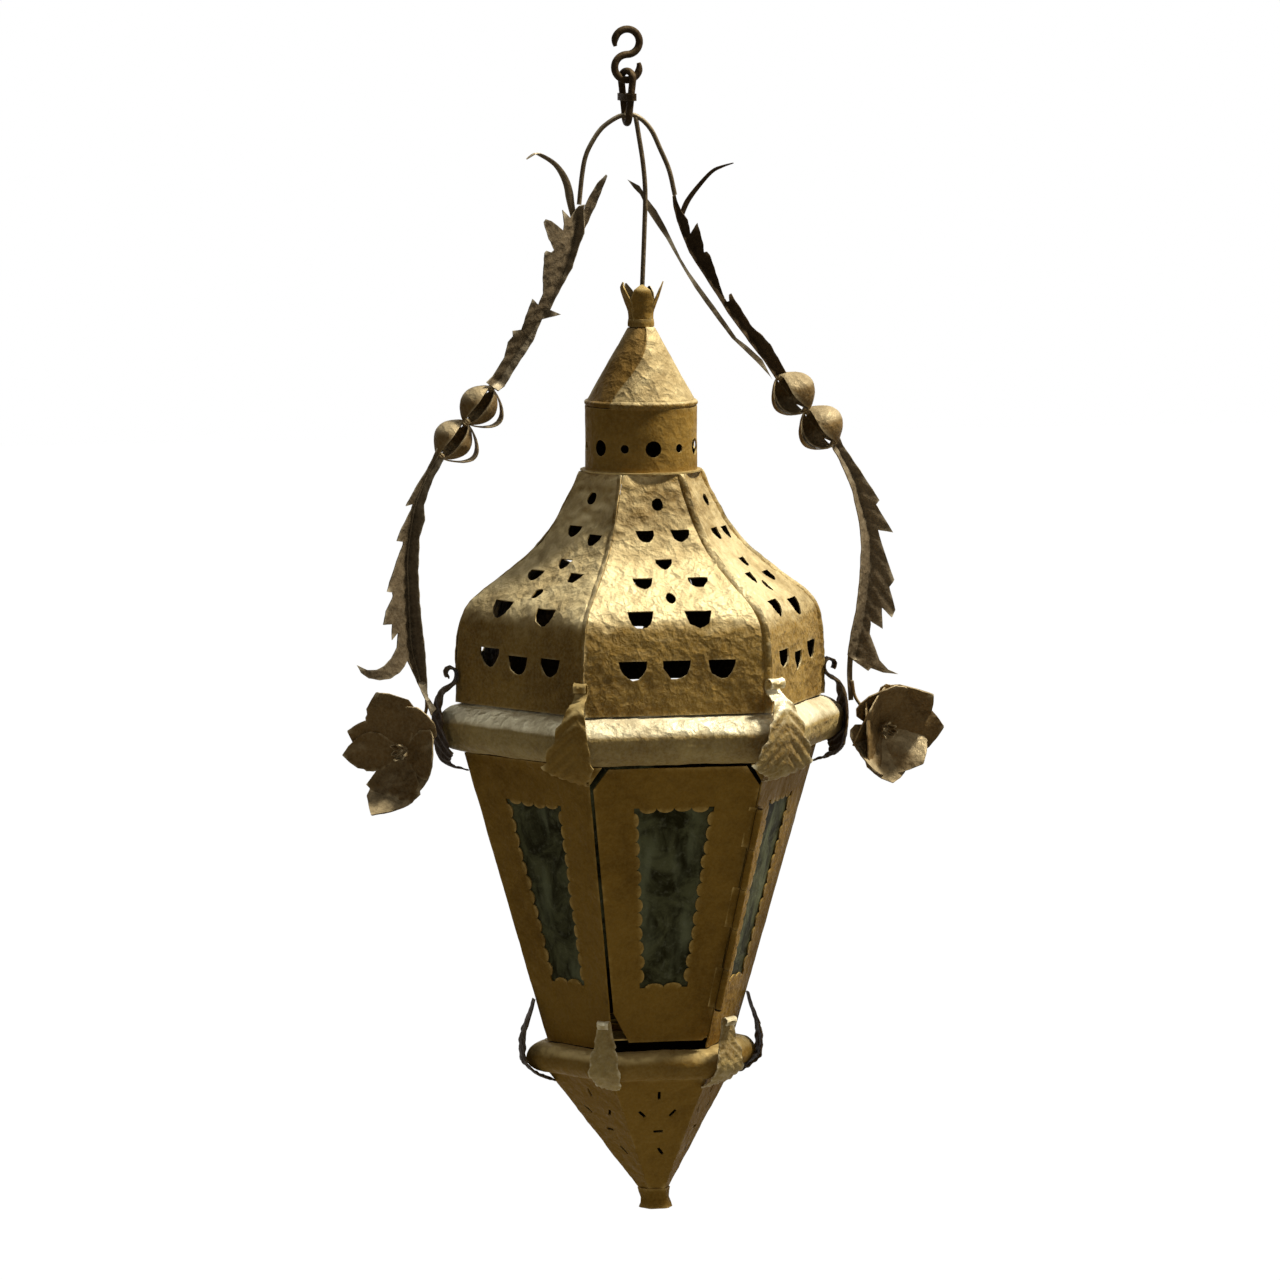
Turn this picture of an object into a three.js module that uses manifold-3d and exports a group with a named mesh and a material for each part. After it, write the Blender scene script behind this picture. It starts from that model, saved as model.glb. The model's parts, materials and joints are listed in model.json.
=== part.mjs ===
// A hanging candle lantern of thin brass sheet: a hexagonal tapering body with six glazed panels, one
// of them a hinged door, under a vented roof, held by two arms of serrated leaves with a rose at each
// side. Millimetres, +Z up. The door faces -Y. The origin is the point that the top hook hangs on.

import * as THREE from 'three';
import { mergeVertices } from 'three/addons/utils/BufferGeometryUtils.js';
import Module from 'manifold-3d';

const wasm = await Module();
wasm.setup();

const degree = Math.PI / 180;
const cos30 = Math.cos(30 * degree);
const corners = [0, 1, 2, 3, 4, 5];

// Driving dimensions. Radii of hexagonal pieces are measured to their corners, heights from the
// middle of the waist roll.

// Sheet and clearances
const sheet = 1;
const leafSheet = 0.9;
const glassThickness = 2;
const fit = 0.3;

// Hook and link
const hookWire = 5.2;
const hookBend = 8.8;
const linkWire = 5.4;
const linkHalfWidth = 6.5;
const linkLength = 36;
const linkTwist = 25 * degree;
const linkBandHeight = 5;
const hangOffset = 10;
const runningGap = 0.9;

// Body
const waistRadius = 131.7;
const bodyTaper = 0.2906;
const bodyHeight = 204.8;
const windowTopMargin = 30.7;
const windowLength = 134;
const windowTopWidth = 57;
const windowBottomWidth = 34;
const tabPitch = 11;
const tabDepth = 3.8;
const tabFacets = 3;
const glassOverlap = 6;

// Door and its hinge
const doorTopGap = 1.6;
const doorBottomGap = 6;
const doorFreeGap = 3;
const doorTopCut = [12, 14.5];
const doorBottomCut = [9, 22];
const doorHeelCut = [3, 4];
const cornerTabGap = 1.6;
const knuckleRadius = 2.5;
const knuckleTop = 33.5;
const knuckleLength = 30;
const knuckleCount = 5;
const pinRadius = 1.2;
const hingeLeafWidth = 7;

// Rolls
const waistTube = 17.5;
const waistRollRadius = 127.1;
const lowerTube = 10.5;
const lowerRollOverhang = 3.5;
const rollSlot = 80 * degree;

// Dome
const domeHeight = 159.3;
const domeTopRadius = 43.8;
const seamWidth = 4;
const seamHeight = 0.8;

// Neck, cap and finial
const neckRadius = 39;
const neckHeight = 45;
const neckFlange = 3.5;
const neckHoleLarge = 6;
const neckHoleSmall = 3.25;
const neckHoleHeight = 17.5;
const brimRadius = 39.6;
const brimRoll = 2.1;
const capHeight = 52;
const collarRadius = 9.4;
const collarHeight = 6;
const petalHeight = 32;
const petalReach = 16;

// Bottom
const pyramidHeight = 85;
const pyramidTopRadius = 66.7;
const pyramidTipRadius = 10.8;
const pyramidTipShift = 9;
const spoutLength = 14;
const slotWidth = 2;
const slotLength = 7;

// Candle holder
const floorDrop = 197.5;
const panRadius = 30;
const panRim = 5;
const candleRadius = 11.2;
const socketHeight = 22;

// Strap over the lantern
const archHeight = 426.5;
const strapWidth = 3.4;
const strapDepth = 4;

// Leaves. The standoffs are how far they lie off the rolls' corners. The arms are drawn for an arch
// of the drawn height and stretch with it.
const waistLeafStandoff = 2;
const ringLeafStandoff = 4;
const armDrawnHeight = 426.5;
const ringTailDrop = 7;
const leafFold = 0.09;
const sideLeafFold = 0.25;
const leafHollow = 4;
const tendrilDepth = 1.2;
const stalkDepth = 2.7;
const stemRadius = 1.2;
const podStripWidth = 4;
const podKnot = 3;
const podNeck = 1.6;

// Shared sizes worked out from the driving dimensions
const bodyTop = -(waistTube + fit);
const bodyBottom = bodyTop - bodyHeight;
const wallTilt = Math.atan(bodyTaper * cos30);
const wallLength = bodyHeight / Math.cos(wallTilt);
const bodyRadius = (z) => waistRadius + bodyTaper * z;
const domeBase = waistTube + fit;
const domeTop = domeBase + domeHeight;
const lowerRollRadius = bodyRadius(bodyBottom) + lowerRollOverhang;
const lowerRollHeight = bodyBottom - fit - lowerTube;
const neckBase = domeTop + fit;
const neckTop = neckBase + neckHeight;
const capBase = neckTop + fit + brimRoll;
const capTop = capBase + capHeight;
const collarBase = capTop + fit;
const pyramidTop = lowerRollHeight - lowerTube - fit;
const seamGap = fit / 2 / cos30;
const linkBottom = archHeight - strapWidth - runningGap - linkWire / 2;
const linkTop = linkBottom + linkLength;
const hookLow = linkTop - (hookWire + linkWire) / 2 - runningGap;
const hookTop = hookLow + 4 * hookBend;
const hangHeight = hookTop - hookWire / 2;
const waistLeafReach = waistRollRadius + waistTube / cos30 + waistLeafStandoff;
const ringLeafReach = lowerRollRadius + lowerTube / cos30 + ringLeafStandoff;
const armReach = waistLeafReach + leafSheet / 2;

// Materials
const brass = (color, roughness) => new THREE.MeshStandardMaterial({ color, roughness, metalness: 0.9 });
const bodyBrass = brass(0x8a6a34, 0.5);
const paleBrass = brass(0xc9ae72, 0.4);
const leafBrass = brass(0x4a3a20, 0.55);
const roseBrass = brass(0x6b5228, 0.5);
const iron = brass(0x39322a, 0.6);
const glass = new THREE.MeshStandardMaterial({
  color: 0x9fb0a4, roughness: 0.1, metalness: 0, transparent: true, opacity: 0.4,
});

// Turns a closed geometry into a body whose faces point out.
function closed(geometry) {
  const bare = geometry.clone();
  bare.deleteAttribute('normal');
  bare.deleteAttribute('uv');
  const merged = mergeVertices(bare);
  const position = merged.attributes.position;
  const index = merged.index.array;
  const [a, b, c] = [new THREE.Vector3(), new THREE.Vector3(), new THREE.Vector3()];
  let volume = 0;
  for (let i = 0; i < index.length; i += 3) {
    a.fromBufferAttribute(position, index[i]);
    b.fromBufferAttribute(position, index[i + 1]);
    c.fromBufferAttribute(position, index[i + 2]);
    volume += a.dot(b.cross(c));
  }
  if (volume < 0) {
    for (let i = 0; i < index.length; i += 3) {
      [index[i], index[i + 1]] = [index[i + 1], index[i]];
    }
  }
  merged.computeVertexNormals();
  return merged;
}

function fromPoints(points, index) {
  const geometry = new THREE.BufferGeometry().setFromPoints(points);
  geometry.setIndex(index);
  return closed(geometry);
}

function toSolid(geometry) {
  const body = closed(geometry);
  return new wasm.Manifold(new wasm.Mesh({
    numProp: 3,
    vertProperties: new Float32Array(body.attributes.position.array),
    triVerts: new Uint32Array(body.index.array),
  }));
}

function toGeometry(solid) {
  const mesh = solid.getMesh();
  const geometry = new THREE.BufferGeometry();
  geometry.setAttribute('position', new THREE.BufferAttribute(mesh.vertProperties, 3));
  geometry.setIndex(new THREE.BufferAttribute(mesh.triVerts, 1));
  return closed(geometry);
}

const join = (...pieces) => toGeometry(pieces.map(toSolid).reduce((whole, next) => whole.add(next)));

function cut(piece, ...tools) {
  return toGeometry(tools.map(toSolid).reduce((rest, tool) => rest.subtract(tool), toSolid(piece)));
}

// A thin sheet between two grids of points of the same size, closed along its four edges.
function slab(front, back) {
  const rows = front.length;
  const columns = front[0].length;
  const half = rows * columns;
  const index = [];
  const quad = (a, b, c, d) => index.push(a, b, c, a, c, d);
  for (let row = 0; row < rows - 1; row += 1) {
    for (let column = 0; column < columns - 1; column += 1) {
      const a = row * columns + column;
      quad(a, a + 1, a + columns + 1, a + columns);
      quad(half + a + columns, half + a + columns + 1, half + a + 1, half + a);
    }
    const left = row * columns;
    const right = left + columns - 1;
    quad(left, left + columns, half + left + columns, half + left);
    quad(right, half + right, half + right + columns, right + columns);
  }
  for (let column = 0; column < columns - 1; column += 1) {
    const top = (rows - 1) * columns + column;
    quad(column, half + column, half + column + 1, column + 1);
    quad(top, top + 1, half + top + 1, half + top);
  }
  return fromPoints([...front.flat(), ...back.flat()], index);
}

// Skins a row of closed rings, and either caps the first and last or joins them.
function loft(rings, around) {
  const count = rings[0].length;
  const index = [];
  const spans = around ? rings.length : rings.length - 1;
  for (let ring = 0; ring < spans; ring += 1) {
    const here = ring * count;
    const there = ((ring + 1) % rings.length) * count;
    for (let i = 0; i < count; i += 1) {
      const j = (i + 1) % count;
      index.push(here + i, here + j, there + j, here + i, there + j, there + i);
    }
  }
  if (!around) {
    const last = (rings.length - 1) * count;
    for (let i = 1; i < count - 1; i += 1) {
      index.push(0, i + 1, i, last, last + i, last + i + 1);
    }
  }
  return fromPoints(rings.flat(), index);
}

const onCorner = (radius, angle, z, shift = 0) => (
  new THREE.Vector3(radius * Math.cos(angle) + shift, radius * Math.sin(angle), z)
);

// Carries a closed section of [corner radius, height, sideways shift] round the hexagon.
function hexSweep(section) {
  const rings = corners.map((corner) => (
    section.map(([radius, z, shift]) => onCorner(radius, corner * 60 * degree, z, shift))
  ));
  return loft(rings, true);
}

function hexPlate(radius, bottom, thickness) {
  const ring = (z) => corners.map((corner) => onCorner(radius, corner * 60 * degree, z));
  return loft([ring(bottom), ring(bottom + thickness)], false);
}

function tube(curve, radius, steps, sides, around = false) {
  const frames = curve.computeFrenetFrames(steps, around);
  const rings = [];
  for (let step = 0; step < (around ? steps : steps + 1); step += 1) {
    const centre = curve.getPointAt(step / steps);
    rings.push(Array.from({ length: sides }, (_, side) => {
      const angle = (side / sides) * 2 * Math.PI;
      return centre.clone()
        .addScaledVector(frames.normals[step], radius * Math.cos(angle))
        .addScaledVector(frames.binormals[step], radius * Math.sin(angle));
    }));
  }
  return loft(rings, around);
}

// Turns a closed profile of [radius, height] about the upright axis.
function turned(profile, segments) {
  const points = [...profile, profile[0]].map(([radius, z]) => new THREE.Vector2(radius, z));
  return new THREE.LatheGeometry(points, segments).rotateX(90 * degree);
}

function prism(outline, depth) {
  const shape = new THREE.Shape(outline.map(([x, y]) => new THREE.Vector2(x, y)));
  return new THREE.ExtrudeGeometry(shape, { depth, bevelEnabled: false });
}

// A flat strip bent in the XZ plane, with a width at each point of its path.
function strip(path, widths, depth, y = 0) {
  const edges = path.map(([x, z], i) => {
    const before = path[Math.max(i - 1, 0)];
    const after = path[Math.min(i + 1, path.length - 1)];
    const along = new THREE.Vector2(after[0] - before[0], after[1] - before[1]).normalize();
    const half = (Array.isArray(widths) ? widths[i] : widths) / 2;
    return [[x - along.y * half, z + along.x * half], [x + along.y * half, z - along.x * half]];
  });
  const face = (depthwise) => edges.map((pair) => pair.map(([x, z]) => new THREE.Vector3(x, depthwise, z)));
  return slab(face(y - depth / 2), face(y + depth / 2));
}

const object = new THREE.Group();
const lantern = new THREE.Group();
lantern.position.set(hangOffset, 0, -hangHeight);
object.add(lantern);

function add(name, geometry, material, parent = lantern) {
  const mesh = new THREE.Mesh(geometry, material);
  mesh.name = name;
  parent.add(mesh);
  return mesh;
}

// Hook: two bends of one wire, the lower one open to the right and the upper one to the left.
function hook() {
  const points = [];
  const bend = (centre, from, to, steps) => {
    for (let step = 0; step <= steps; step += 1) {
      const angle = (from + ((to - from) * step) / steps) * degree;
      points.push(new THREE.Vector3(hookBend * Math.cos(angle), 0, centre + hookBend * Math.sin(angle)));
    }
  };
  bend(hookLow + hookBend, 20, -265, 10);
  bend(hookTop - hookBend, -85, 200, 10);
  return tube(new THREE.CatmullRomCurve3(points), hookWire / 2, 28, 8)
    .translate(-hangOffset, 0, 0);
}

// Link: a long ring of wire, twisted towards its top, with a band round both legs.
function link() {
  const points = [];
  const low = linkBottom + linkHalfWidth;
  const high = linkTop - linkHalfWidth;
  for (let step = 0; step < 16; step += 1) {
    const angle = ((step + 0.5) / 16) * 2 * Math.PI;
    const y = linkHalfWidth * Math.cos(angle);
    const z = (Math.sin(angle) > 0 ? high : low) + linkHalfWidth * Math.sin(angle);
    const turn = linkTwist * Math.max(0, (z - low) / (high - low));
    points.push(new THREE.Vector3(-y * Math.sin(turn), y * Math.cos(turn), z));
  }
  const ring = tube(new THREE.CatmullRomCurve3(points, true), linkWire / 2, 26, 8, true);
  const middle = (linkBottom + linkTop) / 2;
  const bandHalf = linkWire / 2 + sheet;
  const outline = (reach, half) => {
    const shape = new THREE.Path();
    shape.absarc(reach, 0, half, -90 * degree, 90 * degree);
    shape.absarc(-reach, 0, half, 90 * degree, 270 * degree);
    return shape.getPoints(4);
  };
  const band = new THREE.Shape(outline(linkHalfWidth, bandHalf));
  band.holes.push(new THREE.Path(outline(linkHalfWidth - 1, linkWire / 2 - 1)));
  const sleeve = new THREE.ExtrudeGeometry(band, { depth: linkBandHeight, bevelEnabled: false })
    .rotateZ(90 * degree + linkTwist / 2)
    .translate(0, 0, middle - linkBandHeight / 2);
  return join(ring, sleeve).translate(-hangOffset, 0, 0);
}

// Rolls: a tube slit along its inner side, carried round the hexagon.
function roll(radius, height, tubeRadius) {
  const steps = 9;
  const section = [];
  const arc = (sectionRadius, from, to) => {
    for (let step = 0; step <= steps; step += 1) {
      const angle = from + ((to - from) * step) / steps;
      section.push([
        radius + (sectionRadius * Math.cos(angle)) / cos30,
        height + sectionRadius * Math.sin(angle),
        0,
      ]);
    }
  };
  const open = Math.PI - rollSlot / 2;
  arc(tubeRadius, -open, open);
  arc(tubeRadius - sheet, open, -open);
  return hexSweep(section);
}

// Body panels. A panel lies in a frame with X along the wall, Y up its slope and Z outward, whose
// origin is the middle of the wall's top edge.
function wallFrame() {
  const frame = new THREE.Matrix4().makeBasis(
    new THREE.Vector3(1, 0, 0),
    new THREE.Vector3(0, -Math.sin(wallTilt), Math.cos(wallTilt)),
    new THREE.Vector3(0, -Math.cos(wallTilt), -Math.sin(wallTilt)),
  );
  return frame.setPosition(0, -bodyRadius(bodyTop) * cos30, bodyTop);
}

function panelPlate() {
  const inset = sheet / Math.cos(wallTilt);
  const row = (z, depth) => {
    const apothem = bodyRadius(z) * cos30 - depth;
    const half = apothem * Math.tan(30 * degree) - seamGap;
    return [new THREE.Vector3(-half, -apothem, z), new THREE.Vector3(half, -apothem, z)];
  };
  const levels = [bodyBottom, bodyTop];
  return slab(levels.map((z) => row(z, 0)), levels.map((z) => row(z, inset)));
}

// The window is a trapezium whose edge is cut into small round tabs that point inward.
function windowOutline() {
  const top = -windowTopMargin;
  const bottom = top - windowLength;
  const frame = [
    [-windowBottomWidth / 2, bottom],
    [windowBottomWidth / 2, bottom],
    [windowTopWidth / 2, top],
    [-windowTopWidth / 2, top],
  ];
  return frame.flatMap(([x0, y0], side) => {
    const [x1, y1] = frame[(side + 1) % frame.length];
    const length = Math.hypot(x1 - x0, y1 - y0);
    const run = length - 2 * tabDepth;
    const tabs = Math.round(run / tabPitch);
    const points = Array.from({ length: tabs * tabFacets + 1 }, (_, i) => {
      const angle = ((i % tabFacets) / tabFacets) * Math.PI;
      const step = (Math.floor(i / tabFacets) + (1 - Math.cos(angle)) / 2) / tabs;
      const along = (tabDepth + run * step) / length;
      const inward = (tabDepth * Math.sin(angle)) / length;
      return [
        x0 + (x1 - x0) * along - (y1 - y0) * inward,
        y0 + (y1 - y0) * along + (x1 - x0) * inward,
      ];
    });
    return [[x0, y0], ...points];
  });
}

function windowTool() {
  return prism(windowOutline(), 6 * sheet)
    .translate(0, 0, -3 * sheet)
    .applyMatrix4(wallFrame());
}

// Hinge knuckles lie on an axis just outside the slanted corner between door and neighbour. Their
// frame has Z along the corner, X along the wall that they belong to and Y outward from it.
const hingeOffset = (knuckleRadius + fit) / (cos30 * Math.cos(wallTilt));

function hingeFrame(side) {
  const angle = (-90 + 30 * side) * degree;
  const along = onCorner(bodyTaper, angle, 1).normalize();
  const axisZ = along.clone().multiplyScalar(side);
  const axisX = new THREE.Vector3(-side, 0, 0);
  axisX.addScaledVector(along, -axisX.dot(along)).normalize();
  const axisY = new THREE.Vector3().crossVectors(axisZ, axisX);
  return new THREE.Matrix4()
    .makeBasis(axisX, axisY, axisZ)
    .setPosition(onCorner(bodyRadius(bodyTop) + hingeOffset, angle, bodyTop));
}

function knuckles(side, first) {
  const bore = (pinRadius + fit) / cos30;
  const pieces = [];
  for (let slot = first; slot < knuckleCount; slot += 2) {
    const start = -(knuckleTop + (slot + 1) * knuckleLength) + fit / 2;
    const length = knuckleLength - fit;
    const barrel = new THREE.Shape().absarc(0, 0, knuckleRadius, 0, 2 * Math.PI);
    const leaf = new THREE.Shape([
      new THREE.Vector2(0, -knuckleRadius),
      new THREE.Vector2(knuckleRadius, -knuckleRadius),
      new THREE.Vector2(knuckleRadius + sheet, -knuckleRadius - fit - sheet / 2),
      new THREE.Vector2(hingeLeafWidth, -knuckleRadius - fit - sheet / 2),
      new THREE.Vector2(hingeLeafWidth, -knuckleRadius + sheet / 2),
      new THREE.Vector2(0, -knuckleRadius + sheet),
    ]);
    const hole = new THREE.Shape().absarc(0, 0, bore, 0, 2 * Math.PI);
    const extrude = (shape, curveSegments) => (
      new THREE.ExtrudeGeometry(shape, { depth: length, bevelEnabled: false, curveSegments })
    );
    pieces.push(cut(join(extrude(barrel, 5), extrude(leaf, 1)), extrude(hole, 3))
      .translate(0, 0, side > 0 ? start : -start - length)
      .applyMatrix4(hingeFrame(side)));
  }
  return pieces;
}

const halfWall = (y) => (bodyRadius(bodyTop) + y * bodyTaper * Math.cos(wallTilt)) / 2;

// The panels beside the door each carry a tab round the corner, which fills the door's cut corner.
function cornerTab(side) {
  const [across, down] = doorTopCut;
  return prism([
    [side * (halfWall(0) - across + cornerTabGap), 0],
    [side * (halfWall(0) + seamGap + fit), 0],
    [side * (halfWall(-down) + seamGap + fit), -down],
    [side * (halfWall(-down) - fit), -down + cornerTabGap],
  ], sheet)
    .translate(0, 0, -sheet)
    .applyMatrix4(wallFrame())
    .rotateZ(-side * 60 * degree);
}

function bodyPanel(face) {
  const plate = cut(panelPlate(), windowTool());
  if (face === 1) {
    return join(plate, cornerTab(1), ...knuckles(-1, 1));
  }
  return face === 5 ? join(plate, cornerTab(-1)) : plate;
}

// Door: the front wall's plate inside narrow gaps, with its four corners cut off.
function doorPanel() {
  const top = -doorTopGap;
  const bottom = -wallLength + doorBottomGap;
  const edge = (side, gap, [across, up]) => [
    [side * (halfWall(bottom) - gap - across), bottom],
    [side * (halfWall(bottom + up) - gap), bottom + up],
    [side * (halfWall(top - doorTopCut[1]) - gap), top - doorTopCut[1]],
    [side * (halfWall(top) - gap - doorTopCut[0]), top],
  ];
  const hingeGap = sheet * Math.tan(30 * degree) + seamGap + fit;
  const outline = [
    ...edge(1, hingeGap, doorHeelCut),
    ...edge(-1, doorFreeGap, doorBottomCut).reverse(),
  ];
  const plate = prism(outline, sheet)
    .translate(0, 0, -sheet)
    .applyMatrix4(wallFrame());
  return join(cut(plate, windowTool()), ...knuckles(1, 0));
}

function hingePin() {
  const length = knuckleCount * knuckleLength;
  const head = knuckleRadius - fit;
  return turned([
    [0, -fit - sheet],
    [head, -fit - sheet],
    [head, -fit],
    [pinRadius, -fit],
    [pinRadius, length + fit],
    [head, length + fit],
    [head, length + fit + sheet],
    [0, length + fit + sheet],
  ].map(([radius, z]) => [radius, z - knuckleTop - length]), 8)
    .applyMatrix4(hingeFrame(1));
}

function glassPane() {
  const top = -windowTopMargin + glassOverlap;
  const bottom = -windowTopMargin - windowLength - glassOverlap;
  return prism([
    [-windowBottomWidth / 2 - glassOverlap, bottom],
    [windowBottomWidth / 2 + glassOverlap, bottom],
    [windowTopWidth / 2 + glassOverlap, top],
    [-windowTopWidth / 2 - glassOverlap, top],
  ], glassThickness)
    .translate(0, 0, -sheet - fit - glassThickness)
    .applyMatrix4(wallFrame());
}

// Dome: the radius falls from the waist to the neck along this curve, in shares of width and height.
const domeShares = [
  [1, 0], [1, 0.19], [0.984, 0.31], [0.943, 0.395], [0.846, 0.46],
  [0.65, 0.54], [0.398, 0.65], [0.244, 0.745], [0.102, 0.88], [0, 1],
];

function domeCurve() {
  return new THREE.CatmullRomCurve3(domeShares.map(([wide, high]) => new THREE.Vector3(
    domeTopRadius + (waistRadius - domeTopRadius) * wide,
    0,
    domeBase + domeHeight * high,
  )));
}

// Vents in each dome panel as [sideways, height above the waist, width, height]. Those whose width
// and height are alike are round, the others are half-moons with their flat side up.
const ventRows = [
  [-32, 49, 20, 13], [-1, 49, 20, 13], [31, 49, 20, 13],
  [-25, 83, 18.5, 11.5], [16, 83, 18.5, 11.5],
  [-1, 97, 7, 7],
  [-18, 106, 14, 6.5], [21, 106, 14, 6.5],
  [0, 118, 12, 6],
  [-10, 136, 13, 8], [15, 136, 13, 8],
  [1, 157, 8.5, 8.5],
];

function ventTool([x, z, width, height]) {
  const round = width === height;
  const facets = round ? 6 : 4;
  const outline = Array.from({ length: round ? facets : facets + 1 }, (_, i) => {
    const angle = (i / facets) * Math.PI * (round ? 2 : 1);
    return [
      (-width / 2) * Math.cos(angle),
      round ? (height / 2) * Math.sin(angle) : height / 2 - height * Math.sin(angle),
    ];
  });
  return prism(outline, waistRadius).rotateX(90 * degree).translate(x, 0, z);
}

function domePanel() {
  const curve = domeCurve();
  const levels = 8;
  const grid = (depth) => Array.from({ length: levels + 1 }, (_, level) => {
    const point = curve.getPointAt(level / levels);
    const tangent = curve.getTangentAt(level / levels);
    const outward = new THREE.Vector2(tangent.z, -tangent.x * cos30).normalize();
    const flat = (lift, column) => {
      const apothem = point.x * cos30 + (lift - depth) * outward.x;
      const half = apothem * Math.tan(30 * degree) - seamGap;
      const x = [-half, half - seamWidth, half - seamWidth + seamHeight / 2, half][column];
      return new THREE.Vector3(x, -apothem, point.z + (lift - depth) * outward.y);
    };
    const raised = depth === 0 ? seamHeight : 0;
    return [flat(0, 0), flat(0, 1), flat(raised, 2), flat(raised, 3)];
  });
  return cut(slab(grid(0), grid(sheet)), ...ventRows.map(ventTool));
}

// Neck: a drum on a flange, with large and small round holes in turn.
function neck() {
  const wall = turned([
    [neckRadius - neckFlange, neckBase],
    [neckRadius + neckFlange, neckBase],
    [neckRadius + neckFlange, neckBase + sheet],
    [neckRadius, neckBase + sheet],
    [neckRadius, neckTop],
    [neckRadius - sheet, neckTop],
    [neckRadius - sheet, neckBase + sheet],
    [neckRadius - neckFlange, neckBase + sheet],
  ], 20);
  const holes = Array.from({ length: 12 }, (_, i) => {
    const radius = i % 2 ? neckHoleSmall : neckHoleLarge;
    return new THREE.CylinderGeometry(radius, radius, neckRadius, i % 2 ? 6 : 8)
      .translate(0, -neckRadius, 0)
      .rotateZ(i * 30 * degree)
      .translate(0, 0, neckBase + neckHoleHeight);
  });
  return cut(wall, ...holes);
}

function cap() {
  const brimCentre = brimRadius - brimRoll;
  const roll = Array.from({ length: 5 }, (_, i) => {
    const angle = (-150 + i * 60) * degree;
    return [brimCentre + brimRoll * Math.cos(angle), capBase + brimRoll * Math.sin(angle)];
  });
  return turned([
    ...roll,
    [collarRadius, capTop],
    [collarRadius - 2 * sheet, capTop],
  ], 24);
}

// Finial: a cup whose wall opens into five pointed petals, one of them in front.
function crown() {
  const cup = turned([
    [0, collarBase],
    [collarRadius, collarBase],
    [collarRadius, collarBase + collarHeight],
    [collarRadius - sheet, collarBase + collarHeight],
    [collarRadius - sheet, collarBase + sheet],
    [0, collarBase + sheet],
  ], 12);
  const widths = [0.55, 0.7, 0.95, 0.12];
  const reaches = [0, 0.1, 0.6, 1];
  const rises = [0, 0.28, 0.65, 1];
  const petal = (depth) => widths.map((share, row) => {
    const rise = collarHeight - sheet + (petalHeight - collarHeight + sheet) * rises[row];
    const reach = collarRadius - sheet / 2 + (petalReach - collarRadius) * reaches[row] - depth;
    const half = share * collarRadius * 0.95;
    return [-half, 0, half].map((x) => (
      new THREE.Vector3(x, -reach + Math.abs(x) * 0.35, collarBase + rise)
    ));
  });
  const petals = [0, 1, 2, 3, 4].map((i) => (
    slab(petal(0), petal(leafSheet)).rotateZ(i * 72 * degree)
  ));
  return join(cup, ...petals);
}

// Bottom: a hexagonal funnel bent to one side, with punched slots and a flared spout.
const bottomSlots = [[0, -14, 0], [-12, -30, 40], [10, -30, -40], [0, -46, 90], [2, -64, 30]];

function pyramid() {
  const tip = pyramidTop - pyramidHeight;
  const outline = [
    [pyramidTopRadius, pyramidTop, 0],
    [pyramidTipRadius, tip, pyramidTipShift],
    [pyramidTipRadius - 1.3, tip - spoutLength / 2, pyramidTipShift + 1],
    [pyramidTipRadius + 0.3, tip - spoutLength, pyramidTipShift + 1.5],
  ];
  const wall = sheet / cos30;
  const inner = outline.map(([radius, z, shift]) => [radius - wall, z, shift]).reverse();
  const slope = Math.atan(((pyramidTopRadius - pyramidTipRadius) * cos30) / pyramidHeight);
  const slots = corners.flatMap((face) => bottomSlots.map(([x, down, turn]) => (
    new THREE.BoxGeometry(slotWidth, slotLength, 10 * sheet)
      .rotateZ(turn * degree)
      .translate(x, down, 0)
      .rotateX(90 * degree + slope)
      .translate(0, -pyramidTopRadius * cos30, pyramidTop)
      .rotateZ(face * 60 * degree)
      .translate(((-down * Math.cos(slope)) / pyramidHeight) * pyramidTipShift, 0, 0)
  )));
  return cut(hexSweep([...outline, ...inner]), ...slots);
}

// A leaf over a corner: a sheet that follows an upright path of [distance from the axis, height]
// and spreads to both sides of it, folded along its middle.
function cornerLeaf(path, spread, fold) {
  const curve = new THREE.SplineCurve(path.map(([r, z]) => new THREE.Vector2(r, z)));
  const grid = (depth) => path.map(([distance, height, half], row) => {
    const tangent = curve.getTangent(row / (path.length - 1));
    const r = distance + tangent.y * depth;
    const z = height - tangent.x * depth;
    return [-half * spread[0], 0, half * spread[1]].map((side) => (
      new THREE.Vector3(r - Math.abs(side) * fold, side, z)
    ));
  });
  return slab(grid(leafSheet / 2), grid(-leafSheet / 2));
}

// Path of a waist leaf as [distance, height, half width], from the curled tip to the pointed tail.
function waistLeafPath() {
  const wall = waistRadius + seamHeight / cos30 + fit + leafSheet / 2;
  const tail = bodyRadius(bodyTop - 13) + fit + leafSheet / 2;
  return [
    [wall + 4.2, 35.2, 7], [wall + 4, 39.5, 7], [wall + 1.6, 40.8, 7], [wall, 38.5, 7],
    [wall + 0.4, 34.5, 9], [wall + 4, 30.5, 13], [waistLeafReach - 6.5, 27, 17.5],
    [waistLeafReach - 2, 19, 20.5], [waistLeafReach, 8, 26], [waistLeafReach - 0.3, -4, 30],
    [waistLeafReach - 2, -14, 27], [waistLeafReach - 5, -22, 9], [waistLeafReach - 12, -27.2, 4.5],
    [tail, bodyTop - 13, 1.5],
  ];
}

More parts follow.
